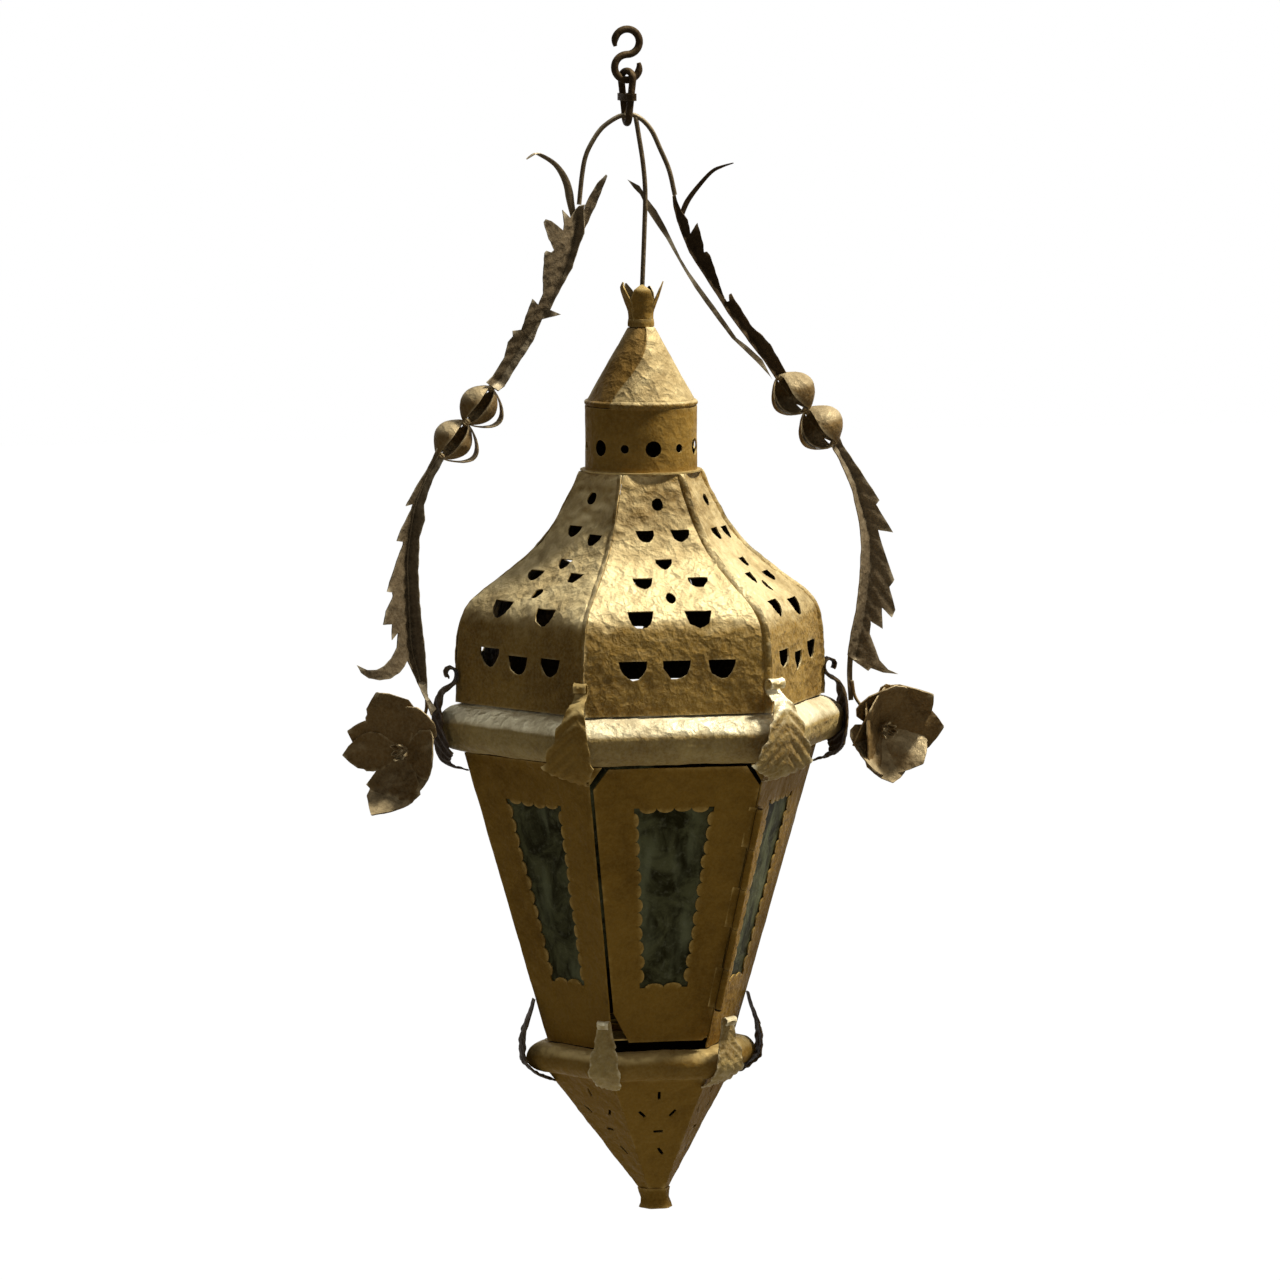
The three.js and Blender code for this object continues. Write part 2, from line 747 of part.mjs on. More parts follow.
// Path of a leaf on the lower ring, whose tail rests on the funnel.
function ringLeafPath(tip, turn) {
  const top = lowerRollHeight;
  const slope = (pyramidTopRadius - pyramidTipRadius - pyramidTipShift * Math.cos(turn)) / pyramidHeight;
  const tail = pyramidTopRadius - ringTailDrop * slope + fit + leafSheet / 2;
  return [
    ...tip.map(([r, z, half]) => [ringLeafReach + r, top + z, half]),
    [ringLeafReach - 1, 17, 10], [ringLeafReach, 7, 12], [ringLeafReach - 1, -3, 13],
    [ringLeafReach - 5.5, -8.5, 12], [ringLeafReach - 13, -14, 9],
    [tail, pyramidTop - top - ringTailDrop, 3],
  ].map(([r, z, half], i) => (i < tip.length ? [r, z, half] : [r, top + z, half]));
}

// A serrated leaf in the XZ plane, hollow towards the front: a midrib from stem to tip, a half width
// on each side at every point of it, and teeth that lean towards the tip.
function serratedLeaf(midrib, left, right, teeth, bite) {
  const spline = (values) => new THREE.SplineCurve(values.map((value, i) => (
    new THREE.Vector2(i / (values.length - 1), value)
  )));
  const rib = new THREE.SplineCurve(midrib.map(([x, z]) => new THREE.Vector2(x, z)));
  const widths = [spline(left), spline(right)];
  const rows = 2 * teeth + 1;
  const widest = Math.max(...left, ...right);
  const grid = (y) => Array.from({ length: rows }, (_, row) => {
    const t = row / (rows - 1);
    const centre = rib.getPoint(t);
    const along = rib.getTangent(t);
    const tooth = row % 2;
    const edge = (side) => {
      const full = Math.max(widths[side].getPoint(t).y, 0.6);
      const width = full * (tooth ? 1 : 1 - bite);
      const lean = tooth ? width * 0.35 : 0;
      const sign = side ? 1 : -1;
      return new THREE.Vector3(
        centre.x + sign * along.y * width + along.x * lean,
        y - (leafHollow * width) / widest,
        centre.y - sign * along.x * width + along.y * lean,
      );
    };
    return [edge(0), new THREE.Vector3(centre.x, y, centre.y), edge(1)];
  });
  return slab(grid(-leafSheet / 2), grid(leafSheet / 2));
}

// A pod: a bud of wide bulged gores that leave slits between them, and one thin strip that has sprung
// out, between two small knots. It stands on the XY plane. A gore is [direction, width in degrees] and
// the strip is [direction, how far out it stands].
function pod(length, radius, gores, [direction, spring]) {
  const rows = 5;
  const steps = Array.from({ length: rows + 1 }, (_, row) => row);
  const swell = (row) => Math.sin((row / rows) * Math.PI) ** 0.8;
  const height = (row) => podKnot / 2 + ((length - podKnot) * row) / rows;
  const gore = ([middle, width]) => {
    const grid = (depth) => steps.map((row) => {
      const r = podNeck + (radius - podNeck) * swell(row) - depth;
      return [-1, 0, 1].map((share) => {
        const angle = (middle - 90 + (share * width) / 2) * degree;
        return new THREE.Vector3(r * Math.cos(angle), r * Math.sin(angle), height(row));
      });
    });
    return slab(grid(0), grid(leafSheet));
  };
  const loose = (depth) => steps.map((row) => {
    const r = podNeck + (spring * radius - podNeck) * swell(row) - depth;
    const half = podNeck / 2 + ((podStripWidth - podNeck) / 2) * swell(row);
    return [-half, half].map((x) => new THREE.Vector3(x, -r, height(row)));
  });
  const ends = [0, length - podKnot].map((z) => (
    turned([[0, z], [podKnot, z], [podKnot, z + podKnot], [0, z + podKnot]], 6)
  ));
  return join(
    ...gores.map(gore),
    slab(loose(0), loose(leafSheet)).rotateZ(direction * degree),
    ...ends,
  );
}

// A rose: petals of [direction, length, width] round a small cup, open towards -Y.
function rose(petals) {
  const rows = [[0.06, 0.3, 0], [0.35, 0.85, -6], [0.72, 0.95, -12], [1, 0.15, -9]];
  const blades = petals.map(([direction, length, width], i) => {
    const grid = (depth) => rows.map(([reach, spread, forward]) => {
      const half = (spread * width) / 2;
      return [-half, 0, half].map((x) => new THREE.Vector3(
        x,
        forward + depth - Math.abs(x) * 0.22 - (i % 2) * 0.8 * reach,
        reach * length,
      ));
    });
    return slab(grid(0), grid(leafSheet)).rotateY((90 - direction) * degree);
  });
  const cup = turned([[0, -2], [3.5, -2], [4.5, 4], [3.6, 8], [0, 3]], 8)
    .rotateX(90 * degree);
  return join(cup, ...blades);
}

// Stands the parts of one arm: outlines are drawn from the point where the arm meets the waist.
const leftArm = new THREE.Group();
leftArm.position.x = -armReach;
lantern.add(leftArm);
const rightArm = new THREE.Group();
rightArm.position.x = armReach;
lantern.add(rightArm);

// Midribs of the leaves, measured from each arm's foot. The strap ends at the tips of the upper ones,
// and the pods stand between their feet and the tips of the lower ones.
const onArm = (points) => points.map(([x, z]) => [x, (z * archHeight) / armDrawnHeight]);
const leftUpperRib = onArm([
  [43, 236.5], [64, 264], [78, 283], [96, 318.5], [103, 340], [105.6, 362.8],
]);
const leftLowerRib = onArm([
  [-1.8, 21], [-9, 33.5], [-14, 55], [-16.5, 97], [-15, 130], [-4, 174], [6.5, 189.5],
]);
const rightUpperRib = onArm([
  [-50.5, 241.5], [-64, 259], [-78, 281], [-98, 311], [-116, 340], [-125.6, 368.8],
]);
const rightLowerRib = onArm([
  [-1, 38], [4, 48], [13, 75.5], [16.5, 103.5], [15.5, 126.5], [6, 160], [-10.5, 193],
]);

function strapArch() {
  const crest = archHeight - strapWidth / 2;
  const leg = ([x, z], sign, shape) => {
    const foot = [x + sign * armReach, z + fit];
    return shape.map(([across, down]) => [
      -hangOffset + (foot[0] + hangOffset) * across,
      crest + (foot[1] - crest) * down,
    ]);
  };
  const left = leg(leftUpperRib.at(-1), -1, [
    [0.2, 0.02], [0.52, 0.14], [0.74, 0.31], [0.87, 0.47], [0.94, 0.68], [1, 1],
  ]);
  const right = leg(rightUpperRib.at(-1), 1, [
    [0.15, 0], [0.34, 0.07], [0.52, 0.2], [0.69, 0.42], [0.88, 0.69], [1, 1],
  ]);
  return strip([...left.reverse(), [-hangOffset, crest], ...right], strapWidth, strapDepth);
}

function centreStrap() {
  const top = archHeight - 2 * strapWidth - fit;
  const foot = collarBase + sheet + fit;
  const path = [
    [-4.4, top + 1], [-1.6, top - 9], [1.4, top - 28], [3, top - 48], [2.4, top - 75],
    [0.6, foot + 20], [0, foot],
  ];
  return strip(path, strapWidth, strapDepth);
}

add('top_hook', hook(), iron);
add('hanging_link', link(), iron);
add('strap_arch', strapArch(), leafBrass);
add('centre_strap', centreStrap(), bodyBrass);
add('finial_crown', crown(), bodyBrass);
add('cap_cone', cap(), paleBrass);
add('neck_drum', neck(), bodyBrass);
add('waist_roll', roll(waistRollRadius, 0, waistTube), paleBrass);
add('lower_roll', roll(lowerRollRadius, lowerRollHeight, lowerTube), paleBrass);
add('bottom_pyramid', pyramid(), bodyBrass);

// Walls, doors and panes, numbered anticlockwise from the door as seen from above
corners.forEach((face) => {
  const turn = face * 60 * degree;
  add(`dome_panel_${face + 1}`, domePanel(), bodyBrass).rotation.z = turn;
  add(`glass_pane_${face + 1}`, glassPane(), glass).rotation.z = turn;
  if (face > 0) {
    add(`body_panel_${face}`, bodyPanel(face), bodyBrass).rotation.z = turn;
  }
});
add('door_panel', doorPanel(), bodyBrass);
add('door_hinge_pin', hingePin(), iron);

// Candle holder on the floor of the body
const floorHeight = bodyTop - floorDrop;
const floorRadius = bodyRadius(floorHeight) - (sheet / Math.cos(wallTilt) + fit) / cos30;
add('floor_plate', hexPlate(floorRadius, floorHeight, sheet), bodyBrass);
const panBase = floorHeight + sheet + fit;
add('drip_pan', turned([
  [0, panBase],
  [panRadius, panBase],
  [panRadius + 2, panBase + panRim],
  [panRadius + 1, panBase + panRim],
  [panRadius - 1, panBase + sheet],
  [0, panBase + sheet],
], 16), bodyBrass);
const socketBase = panBase + sheet + fit;
add('candle_socket', turned([
  [0, socketBase],
  [candleRadius + sheet, socketBase],
  [candleRadius + sheet, socketBase + socketHeight],
  [candleRadius, socketBase + socketHeight],
  [candleRadius, socketBase + sheet],
  [0, socketBase + sheet],
], 12), bodyBrass);

// Corner leaves, from the front left corner anticlockwise. Each has its own spread to either side.
const waistSpreads = [[0.9, 0.35], [1, 0.95], [0.9, 0.9], [0.85, 0.9], [0.9, 0.8], [0.9, 0.9]];
const ringSpreads = [[1, 0.85], [0.55, 1.55], [0.9, 0.9], [0.9, 0.9], [0.9, 0.9], [0.9, 0.9]];
const freeTip = [[-1, 32.5, 4], [2.4, 33.6, 6], [1, 29, 7]];
const seatedTip = [[-9, 41, 3], [-6, 31, 6]];
corners.forEach((corner) => {
  const turn = (-120 + corner * 60) * degree;
  const ringPath = ringLeafPath(corner < 2 ? freeTip : seatedTip, turn);
  const fold = corner % 3 === 2 ? sideLeafFold : leafFold;
  const waist = cornerLeaf(waistLeafPath(), waistSpreads[corner], fold);
  const ring = cornerLeaf(ringPath, ringSpreads[corner], leafFold);
  add(`waist_leaf_${corner + 1}`, waist, paleBrass).rotation.z = turn;
  add(`ring_leaf_${corner + 1}`, ring, paleBrass).rotation.z = turn;
});

// Left arm, from the strap down to the waist
add('left_upper_leaf', join(
  serratedLeaf(
    leftUpperRib,
    [6, 13, 15, 19, 20, 3],
    [4, 5, 6, 5, 5, 1.8],
    7,
    0.4,
  ),
  strip(
    onArm([[104, 336], [108, 346], [113.5, 362], [120.5, 377], [126, 385]]),
    [2, 4, 7, 5, 1],
    tendrilDepth,
  ),
  strip(
    onArm([[67, 395.5], [79, 397.5], [90, 389], [97, 378], [100, 362], [103, 345]]),
    [1, 3, 3.5, 4, 4, 3],
    tendrilDepth,
  ),
), leafBrass, leftArm);
add('left_lower_leaf', join(
  serratedLeaf(
    leftLowerRib,
    [3, 20, 12, 15, 11, 8, 2],
    [2, 3, 7, 7, 7, 5, 2],
    9,
    0.35,
  ),
  strip(onArm([[-4, 40], [-3.6, 24], [-2.9, 10]]), [3, 5, 5], stalkDepth),
  strip(
    onArm([[-18, 40], [-37, 39], [-50, 41], [-56, 47]]),
    [4, 5, 4, 1],
    2 * tendrilDepth,
    -leafHollow / 2,
  ),
), leafBrass, leftArm);

// Right arm
add('right_upper_leaf', join(
  serratedLeaf(
    rightUpperRib,
    [3, 4, 4, 3, 4, 1.5],
    [4, 7, 7, 7, 6, 1.5],
    8,
    0.4,
  ),
  strip(onArm([[-121, 349], [-114, 367], [-104, 380], [-85.5, 390]]), [4, 4, 4, 1], tendrilDepth),
), leafBrass, rightArm);
add('right_blade', strip(
  onArm([[-157, 379], [-147, 366], [-134, 345], [-117, 314], [-93, 279], [-73, 257], [-58, 242]]),
  [1, 6, 8, 6, 6, 6, 3],
  leafSheet,
  strapDepth / 2 + fit + leafSheet / 2,
), paleBrass, rightArm);
add('right_lower_leaf', join(
  serratedLeaf(
    rightLowerRib,
    [3, 5, 8, 9, 8, 4, 2],
    [4, 16, 12, 12, 12, 10, 2],
    9,
    0.35,
  ),
  strip(onArm([[1.5, 44], [1.6, 30], [2.4, 10]]), [4, 4, 4], stalkDepth),
), leafBrass, rightArm);

// Pods, each pair between the foot of an upper leaf and the tip of a lower one
function podPair(group, side, from, to, radii, gores, sprung) {
  const start = new THREE.Vector3(from[0], 0, from[1]);
  const end = new THREE.Vector3(to[0], 0, to[1]);
  const along = end.clone().sub(start);
  const length = (along.length() - 3 * fit) / 2;
  const turn = new THREE.Quaternion().setFromUnitVectors(
    new THREE.Vector3(0, 0, 1),
    along.clone().normalize(),
  );
  ['upper', 'lower'].forEach((place, i) => {
    const mesh = add(`${side}_${place}_pod`, pod(length, radii[i], gores, sprung), leafBrass, group);
    mesh.quaternion.copy(turn);
    mesh.position.copy(start).addScaledVector(along.clone().normalize(), fit + i * (length + fit));
  });
}
podPair(leftArm, 'left', leftUpperRib[0], leftLowerRib.at(-1), [13.5, 14], [
  [-50, 96], [50, 84], [168, 100],
], [-105, 1.45]);
podPair(rightArm, 'right', rightUpperRib[0], rightLowerRib.at(-1), [15.5, 16], [
  [-35, 110], [-150, 90],
], [78, 1.12]);

// Roses, each turned outward and carried on a stem that runs up the front of the arm's stalk
function addRose(name, group, position, facing, stem, petals) {
  const flower = rose(petals).rotateZ(facing * degree).translate(...position);
  const path = [position, ...stem].map((point) => new THREE.Vector3(...point));
  const stalk = tube(new THREE.CatmullRomCurve3(path), stemRadius, 5, 5);
  add(name, join(flower, stalk), roseBrass, group);
}
const stemFront = -(stalkDepth / 2 + fit + stemRadius);
addRose('left_rose', leftArm, [-22, -14, -14], -35, [
  [-12, -7, 0],
  [-4.5, stemFront, 12],
  [-4, stemFront, 24],
], [
  [110, 44, 40], [68, 34, 32], [-5, 27, 36], [-62, 30, 22], [-105, 43, 40], [172, 41, 40],
]);
addRose('right_rose', rightArm, [24, -13, -9], 35, [
  [13, -8, 2],
  [4.5, stemFront, 14],
  [2, stemFront, 26],
], [
  [132, 30, 32], [78, 39, 36], [8, 36, 30], [-80, 33, 34], [-135, 33, 30],
]);

export default object;
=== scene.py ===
"""Dresses the hanging lantern in aged sheet brass.

Lengths are millimetres from the middle of the waist roll, with the door towards -Y. They become
metres in the part's frame when a piece is made.
"""

import json
import math
from itertools import product

import bpy
import numpy as np
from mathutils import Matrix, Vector
from mathutils.geometry import delaunay_2d_cdt


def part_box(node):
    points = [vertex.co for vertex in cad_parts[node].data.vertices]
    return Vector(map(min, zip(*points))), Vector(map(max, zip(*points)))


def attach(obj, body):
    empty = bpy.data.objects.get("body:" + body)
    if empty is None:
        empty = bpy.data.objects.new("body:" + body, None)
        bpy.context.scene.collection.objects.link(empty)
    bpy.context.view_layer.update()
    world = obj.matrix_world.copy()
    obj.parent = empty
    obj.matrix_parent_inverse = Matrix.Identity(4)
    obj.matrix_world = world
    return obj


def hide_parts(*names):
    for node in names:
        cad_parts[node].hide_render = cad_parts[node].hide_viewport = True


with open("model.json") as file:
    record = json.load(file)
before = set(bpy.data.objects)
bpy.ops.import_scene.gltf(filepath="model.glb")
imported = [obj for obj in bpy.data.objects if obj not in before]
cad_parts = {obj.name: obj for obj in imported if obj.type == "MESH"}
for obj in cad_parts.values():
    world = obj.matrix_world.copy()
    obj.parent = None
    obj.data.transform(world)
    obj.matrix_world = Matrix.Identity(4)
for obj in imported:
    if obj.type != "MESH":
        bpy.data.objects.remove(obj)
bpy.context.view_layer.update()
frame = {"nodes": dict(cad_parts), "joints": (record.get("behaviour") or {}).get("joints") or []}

roll_low, roll_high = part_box("waist_roll")
LANTERN_AT = np.array((roll_low + roll_high) / 2)
MM = 0.001
COS30 = math.cos(math.radians(30))
TAN30 = math.tan(math.radians(30))
SIDES = range(6)

# Sheet
SHEET = 1.0
LEAF_SHEET = 0.9
FIT = 0.3
SEAM_GAP = FIT / 2 / COS30
SHARP_ANGLE = math.radians(38)

# Body
WAIST_RADIUS = 131.7
TAPER = 0.2906
WALL_TILT = math.atan(TAPER * COS30)
BODY_TOP = -17.8
BODY_HEIGHT = 204.8
BODY_BOTTOM = BODY_TOP - BODY_HEIGHT
WALL_LENGTH = BODY_HEIGHT / math.cos(WALL_TILT)
WINDOW_TOP_MARGIN = 30.7
WINDOW_LENGTH = 134
WINDOW_TOP = 57
WINDOW_BOTTOM = 34
TAB_PITCH = 11
TAB_DEPTH = 3.8
DOOR_GAPS = {"top": 1.6, "bottom": 6, "free": 3, "hinge": 1.2}
DOOR_TOP_CUT = (12, 14.5)
DOOR_BOTTOM_CUT = (9, 22)
DOOR_HEEL_CUT = (3, 4)
CORNER_TAB_GAP = 1.6
KNUCKLE_RADIUS = 2.5
KNUCKLE_TOP = 33.5
KNUCKLE_LENGTH = 30
KNUCKLE_COUNT = 5
KNUCKLE_PLAY = 0.2
HINGE_LEAF_WIDTH = 7
PIN_RADIUS = 1.2
PIN_HEAD_RADIUS = 2.2
PANE_THICKNESS = 2.0
PANE_LAP = 6

# Rolls
WAIST_TUBE = 17.5
WAIST_ROLL_RADIUS = 127.1
LOWER_TUBE = 10.5
LOWER_ROLL_RADIUS = WAIST_RADIUS + TAPER * BODY_BOTTOM + 3.5
LOWER_ROLL_HEIGHT = BODY_BOTTOM - FIT - LOWER_TUBE

# Dome, neck and cap
DOME_BASE = 17.8
DOME_HEIGHT = 159.3
DOME_TOP_RADIUS = 43.8
DOME_SHARES = [
    (1, 0), (1, 0.19), (0.984, 0.31), (0.943, 0.395), (0.846, 0.46),
    (0.65, 0.54), (0.398, 0.65), (0.244, 0.745), (0.102, 0.88), (0, 1),
]
SEAM_WIDTH = 4
SEAM_HEIGHT = 0.8
SEAM_GROOVE = 0.9
LAP_START = -0.8
LAP_LEAN = 0.9
VENT_STRAY = 3.5
NECK_BASE = DOME_BASE + DOME_HEIGHT + FIT
NECK_RADIUS = 39
NECK_HEIGHT = 45
NECK_HOLE_HEIGHT = 17.5
NECK_BACK_RISE = 5
NECK_HOLE_RADII = (5.8, 3.1)
NECK_FLANGE = (35.5, 42.5)
CAP_BASE = NECK_BASE + NECK_HEIGHT + FIT + 2.1
CAP_HEIGHT = 52
BRIM_RADIUS = 39.6
BRIM_ROLL = 2.1
COLLAR_RADIUS = 9.4
COLLAR_BASE = CAP_BASE + CAP_HEIGHT + FIT

# Bottom
PYRAMID_TOP = LOWER_ROLL_HEIGHT - LOWER_TUBE - FIT
PYRAMID_HEIGHT = 85
PYRAMID_TOP_RADIUS = 66.7
PYRAMID_TIP_RADIUS = 10.8
PYRAMID_TIP_SHIFT = 9

# Leaves
WAIST_LEAF_REACH = WAIST_ROLL_RADIUS + WAIST_TUBE / COS30 + 2
RING_LEAF_REACH = LOWER_ROLL_RADIUS + LOWER_TUBE / COS30 + 4

# Hook, link and straps
HANG_OFFSET = -10
HOOK_BEND = 8.8
HOOK_LOW = 449.3
HOOK_WIRE = 2.6
LINK_LOW = 419.5
LINK_TOP = 455.5
LINK_HALF = 6.5
LINK_WIRE = 2.5
LINK_TURN = 25
BAND_DEPTH = 3.7
STRAP_WIRE = 2.0
ARM_REACH = WAIST_LEAF_REACH + LEAF_SHEET / 2
ARCH_CREST = (HANG_OFFSET, 424.8)
LEFT_STRAP_END = (-ARM_REACH + 105.6, 363.1)
RIGHT_STRAP_END = (ARM_REACH - 125.6, 369.1)


# Surfaces worked out as arrays of points and faces

def noise(points, size, seed):
    """Smooth noise from -1 to 1 whose features are about the given size."""
    cell = points / size
    base = np.floor(cell).astype(np.int64)
    share = cell - base
    share = smooth(share)
    total = np.zeros(len(points))
    for corner in product((0, 1), repeat=3):
        key = (base + corner) @ np.array([73856093, 19349663, 83492791]) + seed * 7919
        key = (key ^ (key >> 13)) * 1274126177
        value = ((key ^ (key >> 16)) & 0xFFFF) / 32767.5 - 1
        total += value * np.prod(np.where(corner, share, 1 - share), axis=1)
    return total


def dents(points, size, depth, seed):
    """Heights of hand-beaten sheet: swells with sharper creases between them."""
    swell = noise(points, size, seed)
    crease = 1 - 2 * np.abs(noise(points, size * 0.55, seed + 1))
    grain = noise(points, size * 0.2, seed + 2)
    return depth * (0.6 * swell + 0.4 * crease + 0.22 * grain)


def smooth(value):
    share = np.clip(value, 0, 1)
    return share * share * (3 - 2 * share)


def full_turn(count):
    return np.linspace(0, 2 * math.pi, count, endpoint=False)


def unit(rows):
    return rows / np.linalg.norm(rows, axis=1)[:, None]


class Path:
    """A smooth curve through points of any number of columns, read by distance along it."""

    def __init__(self, points):
        through = np.array(points, float)
        through = np.vstack([2 * through[0] - through[1], through, 2 * through[-1] - through[-2]])
        pieces = []
        share = np.linspace(0, 1, 12, endpoint=False)[:, None]
        for i in range(1, len(through) - 2):
            a, b, c, d = through[i - 1:i + 3]
            pieces.append(0.5 * (
                2 * b + (c - a) * share + (2 * a - 5 * b + 4 * c - d) * share ** 2
                + (3 * b - a - 3 * c + d) * share ** 3
            ))
        self.points = np.vstack([*pieces, through[-2:-1]])
        steps = np.diff(self.points, axis=0)
        self.run = np.concatenate([[0], np.cumsum(np.sqrt((steps ** 2).sum(1)))])
        self.length = self.run[-1]

    def at(self, run):
        return np.column_stack([np.interp(run, self.run, column) for column in self.points.T])

    def way(self, run):
        return self.at(np.minimum(run + 0.5, self.length)) - self.at(np.maximum(run - 0.5, 0))

    def even(self, count):
        return self.at(np.linspace(0, self.length, count))


def resample(loop, spacing, is_closed=True):
    """Points along a polyline, its corners kept."""
    loop = np.array(loop, float)
    ends = np.roll(loop, -1, axis=0) if is_closed else loop[1:]
    parts = []
    for start, end in zip(loop, ends):
        count = max(1, round(float(np.linalg.norm(end - start)) / spacing))
        parts.append(start + (end - start) * (np.arange(count) / count)[:, None])
    if not is_closed:
        parts.append(loop[-1:])
    return np.vstack(parts)


def inside(points, loop):
    """Which flat points lie inside a closed loop."""
    x, y = points.T
    hit = np.zeros(len(points), bool)
    for (x0, y0), (x1, y1) in zip(loop, np.roll(loop, -1, axis=0)):
        crosses = (y0 > y) != (y1 > y)
        hit ^= crosses & (x < x0 + (y - y0) * (x1 - x0) / (y1 - y0 + 1e-12))
    return hit


def between(points, loops):
    """Which flat points lie inside the first loop and in none of the others."""
    keep = inside(points, loops[0])
    for hole in loops[1:]:
        keep &= ~inside(points, hole)
    return keep


def fill(outline, holes=(), spacing=3.0, ribs=()):
    """Triangles inside a flat outline, clear of its holes and with edges along its ribs."""
    loops = [resample(loop, spacing) for loop in (outline, *holes)]
    lines = [resample(rib, spacing, False) for rib in ribs]
    rim = np.vstack(loops + lines)
    low, high = rim.min(0), rim.max(0)
    rows = np.arange(low[1], high[1], spacing * COS30)
    grid = np.vstack([
        np.column_stack([xs, np.full(len(xs), y)])
        for row, y in enumerate(rows)
        for xs in [np.arange(low[0] + (row % 2) * spacing / 2, high[0], spacing)]
    ])
    grid = grid[between(grid, loops)]
    if len(grid):
        gap = ((grid[:, None] - rim[None]) ** 2).sum(2).min(1)
        grid = grid[gap > (0.6 * spacing) ** 2]
    edges = []
    start = 0
    for index, line in enumerate(loops + lines):
        count = len(line)
        last = count if index < len(loops) else count - 1
        edges += [(start + i, start + (i + 1) % count) for i in range(last)]
        start += count
    vertices = [Vector(point) for point in np.vstack([rim, grid])]
    made = delaunay_2d_cdt(vertices, edges, [], 0, 1e-5)
    points = np.array([tuple(point) for point in made[0]])
    triangles = np.array([tuple(face) for face in made[2]])
    triangles = triangles[between(points[triangles].mean(1), loops)]
    a, b, c = (points[triangles[:, i]] for i in range(3))
    area = (b[:, 0] - a[:, 0]) * (c[:, 1] - a[:, 1]) - (b[:, 1] - a[:, 1]) * (c[:, 0] - a[:, 0])
    triangles[area < 0] = triangles[area < 0][:, ::-1]
    used, triangles = np.unique(triangles, return_inverse=True)
    return points[used], triangles.reshape(-1, 3)


def grid_faces(rows, columns, is_closed=False, is_ring=False):
    """Quads over a grid of points. A closed grid joins its last column to its first, and a ring
    also its last row to its first."""
    faces = []
    for row in range(rows if is_ring else rows - 1):
        here, there = row * columns, (row + 1) % rows * columns
        for a in range(columns if is_closed else columns - 1):
            b = (a + 1) % columns
            faces.append((here + a, here + b, there + b, there + a))
    return faces


def normals_of(points, faces):
    total = np.zeros_like(points)
    for size in (3, 4):
        same = np.array([face for face in faces if len(face) == size])
        if not len(same):
            continue
        corners = [points[same[:, column]] for column in range(size)]
        diagonal = corners[2] - corners[0]
        if size == 4:
            turn = np.cross(diagonal, corners[3] - corners[1])
        else:
            turn = np.cross(corners[1] - corners[0], diagonal)
        for column in range(size):
            np.add.at(total, same[:, column], turn)
    return total / np.maximum(np.linalg.norm(total, axis=1), 1e-12)[:, None]


def thicken(points, faces, thickness, beaten=None):
    """Gives a surface its dents and a back, and closes its free edges."""
    faces = [tuple(int(i) for i in face) for face in faces]
    normals = normals_of(points, faces)
    if beaten:
        points = points + normals * dents(points, *beaten)[:, None]
        normals = normals_of(points, faces)
    count = len(points)
    edges = set()
    for face in faces:
        edges.update(zip(face, face[1:] + face[:1]))
    rim = [(b, a, a + count, b + count) for a, b in edges if (b, a) not in edges]
    back = [tuple(i + count for i in reversed(face)) for face in faces]
    return np.vstack([points, points - normals * thickness]), faces + back + sorted(rim)


def turned_by(points, degrees):
    """Points turned about the upright axis."""
    angle = math.radians(degrees)
    turn = np.array([
        [math.cos(angle), math.sin(angle), 0],
        [-math.sin(angle), math.cos(angle), 0],
        [0, 0, 1],
    ])
    return points @ turn


def turned(part, degrees):
    """A part turned about the upright axis."""
    return turned_by(part[0], degrees), part[1]


def revolve(profile, segments, beaten=None, lift=None):
    """Turns a closed profile of (radius, height) about the upright axis."""
    radius, height = np.array(profile, float).T
    points = np.vstack([
        np.column_stack([radius * math.cos(angle), radius * math.sin(angle), height])
        for angle in full_turn(segments)
    ])
    faces = [(a, d, c, b) for a, b, c, d in grid_faces(segments, len(radius), True, True)]
    normals = normals_of(points, faces)
    if lift:
        points = points + normals * lift(points)[:, None]
    if beaten:
        points = points + normals * dents(points, *beaten)[:, None]
    return points, faces


def tube(path, radii, sides=12, is_closed=False, flatten=(1, 1), start_side=(0, 1, 0)):
    """A round or flattened bar along points, with a radius at each of them."""
    path = np.array(path, float)
    count = len(path)
    if is_closed:
        ways = unit(np.roll(path, -1, axis=0) - np.roll(path, 1, axis=0))
    else:
        ways = unit(np.gradient(path, axis=0))
    side = np.array(start_side, float)
    angles = full_turn(sides)
    rows = []
    for point, way, radius in zip(path, ways, np.broadcast_to(radii, count)):
        side = side - way * (side @ way)
        side /= np.linalg.norm(side)
        other = np.cross(way, side)
        ring = np.outer(np.cos(angles) * flatten[0], side) + np.outer(np.sin(angles) * flatten[1], other)
        rows.append(point + radius * ring)
    faces = grid_faces(count, sides, True, is_closed)
    if not is_closed:
        faces.append(tuple(reversed(range(sides))))
        faces.append(tuple(range((count - 1) * sides, count * sides)))
    return np.vstack(rows), faces


def ribbon(path, widths, across=(1, 0, 0), cup=0.15):
    """A cupped strip along a smooth path of points, with widths read off along it."""
    line = Path(path)
    rows = max(8, int(line.length / 2.2))
    runs = np.linspace(0, line.length, rows)
    centre = line.at(runs)
    ways = unit(line.way(runs))
    wide = np.interp(runs / line.length, np.linspace(0, 1, len(widths)), widths)
    side = np.array(across, float)
    side = unit(side - ways * (ways @ side)[:, None])
    out = np.cross(side, ways)
    grid = [
        centre + side * (share * wide / 2)[:, None] - out * (cup * wide * share ** 2)[:, None]
        for share in np.linspace(-1, 1, 5)
    ]
    return thicken(np.stack(grid, axis=1).reshape(-1, 3), grid_faces(rows, 5), LEAF_SHEET)


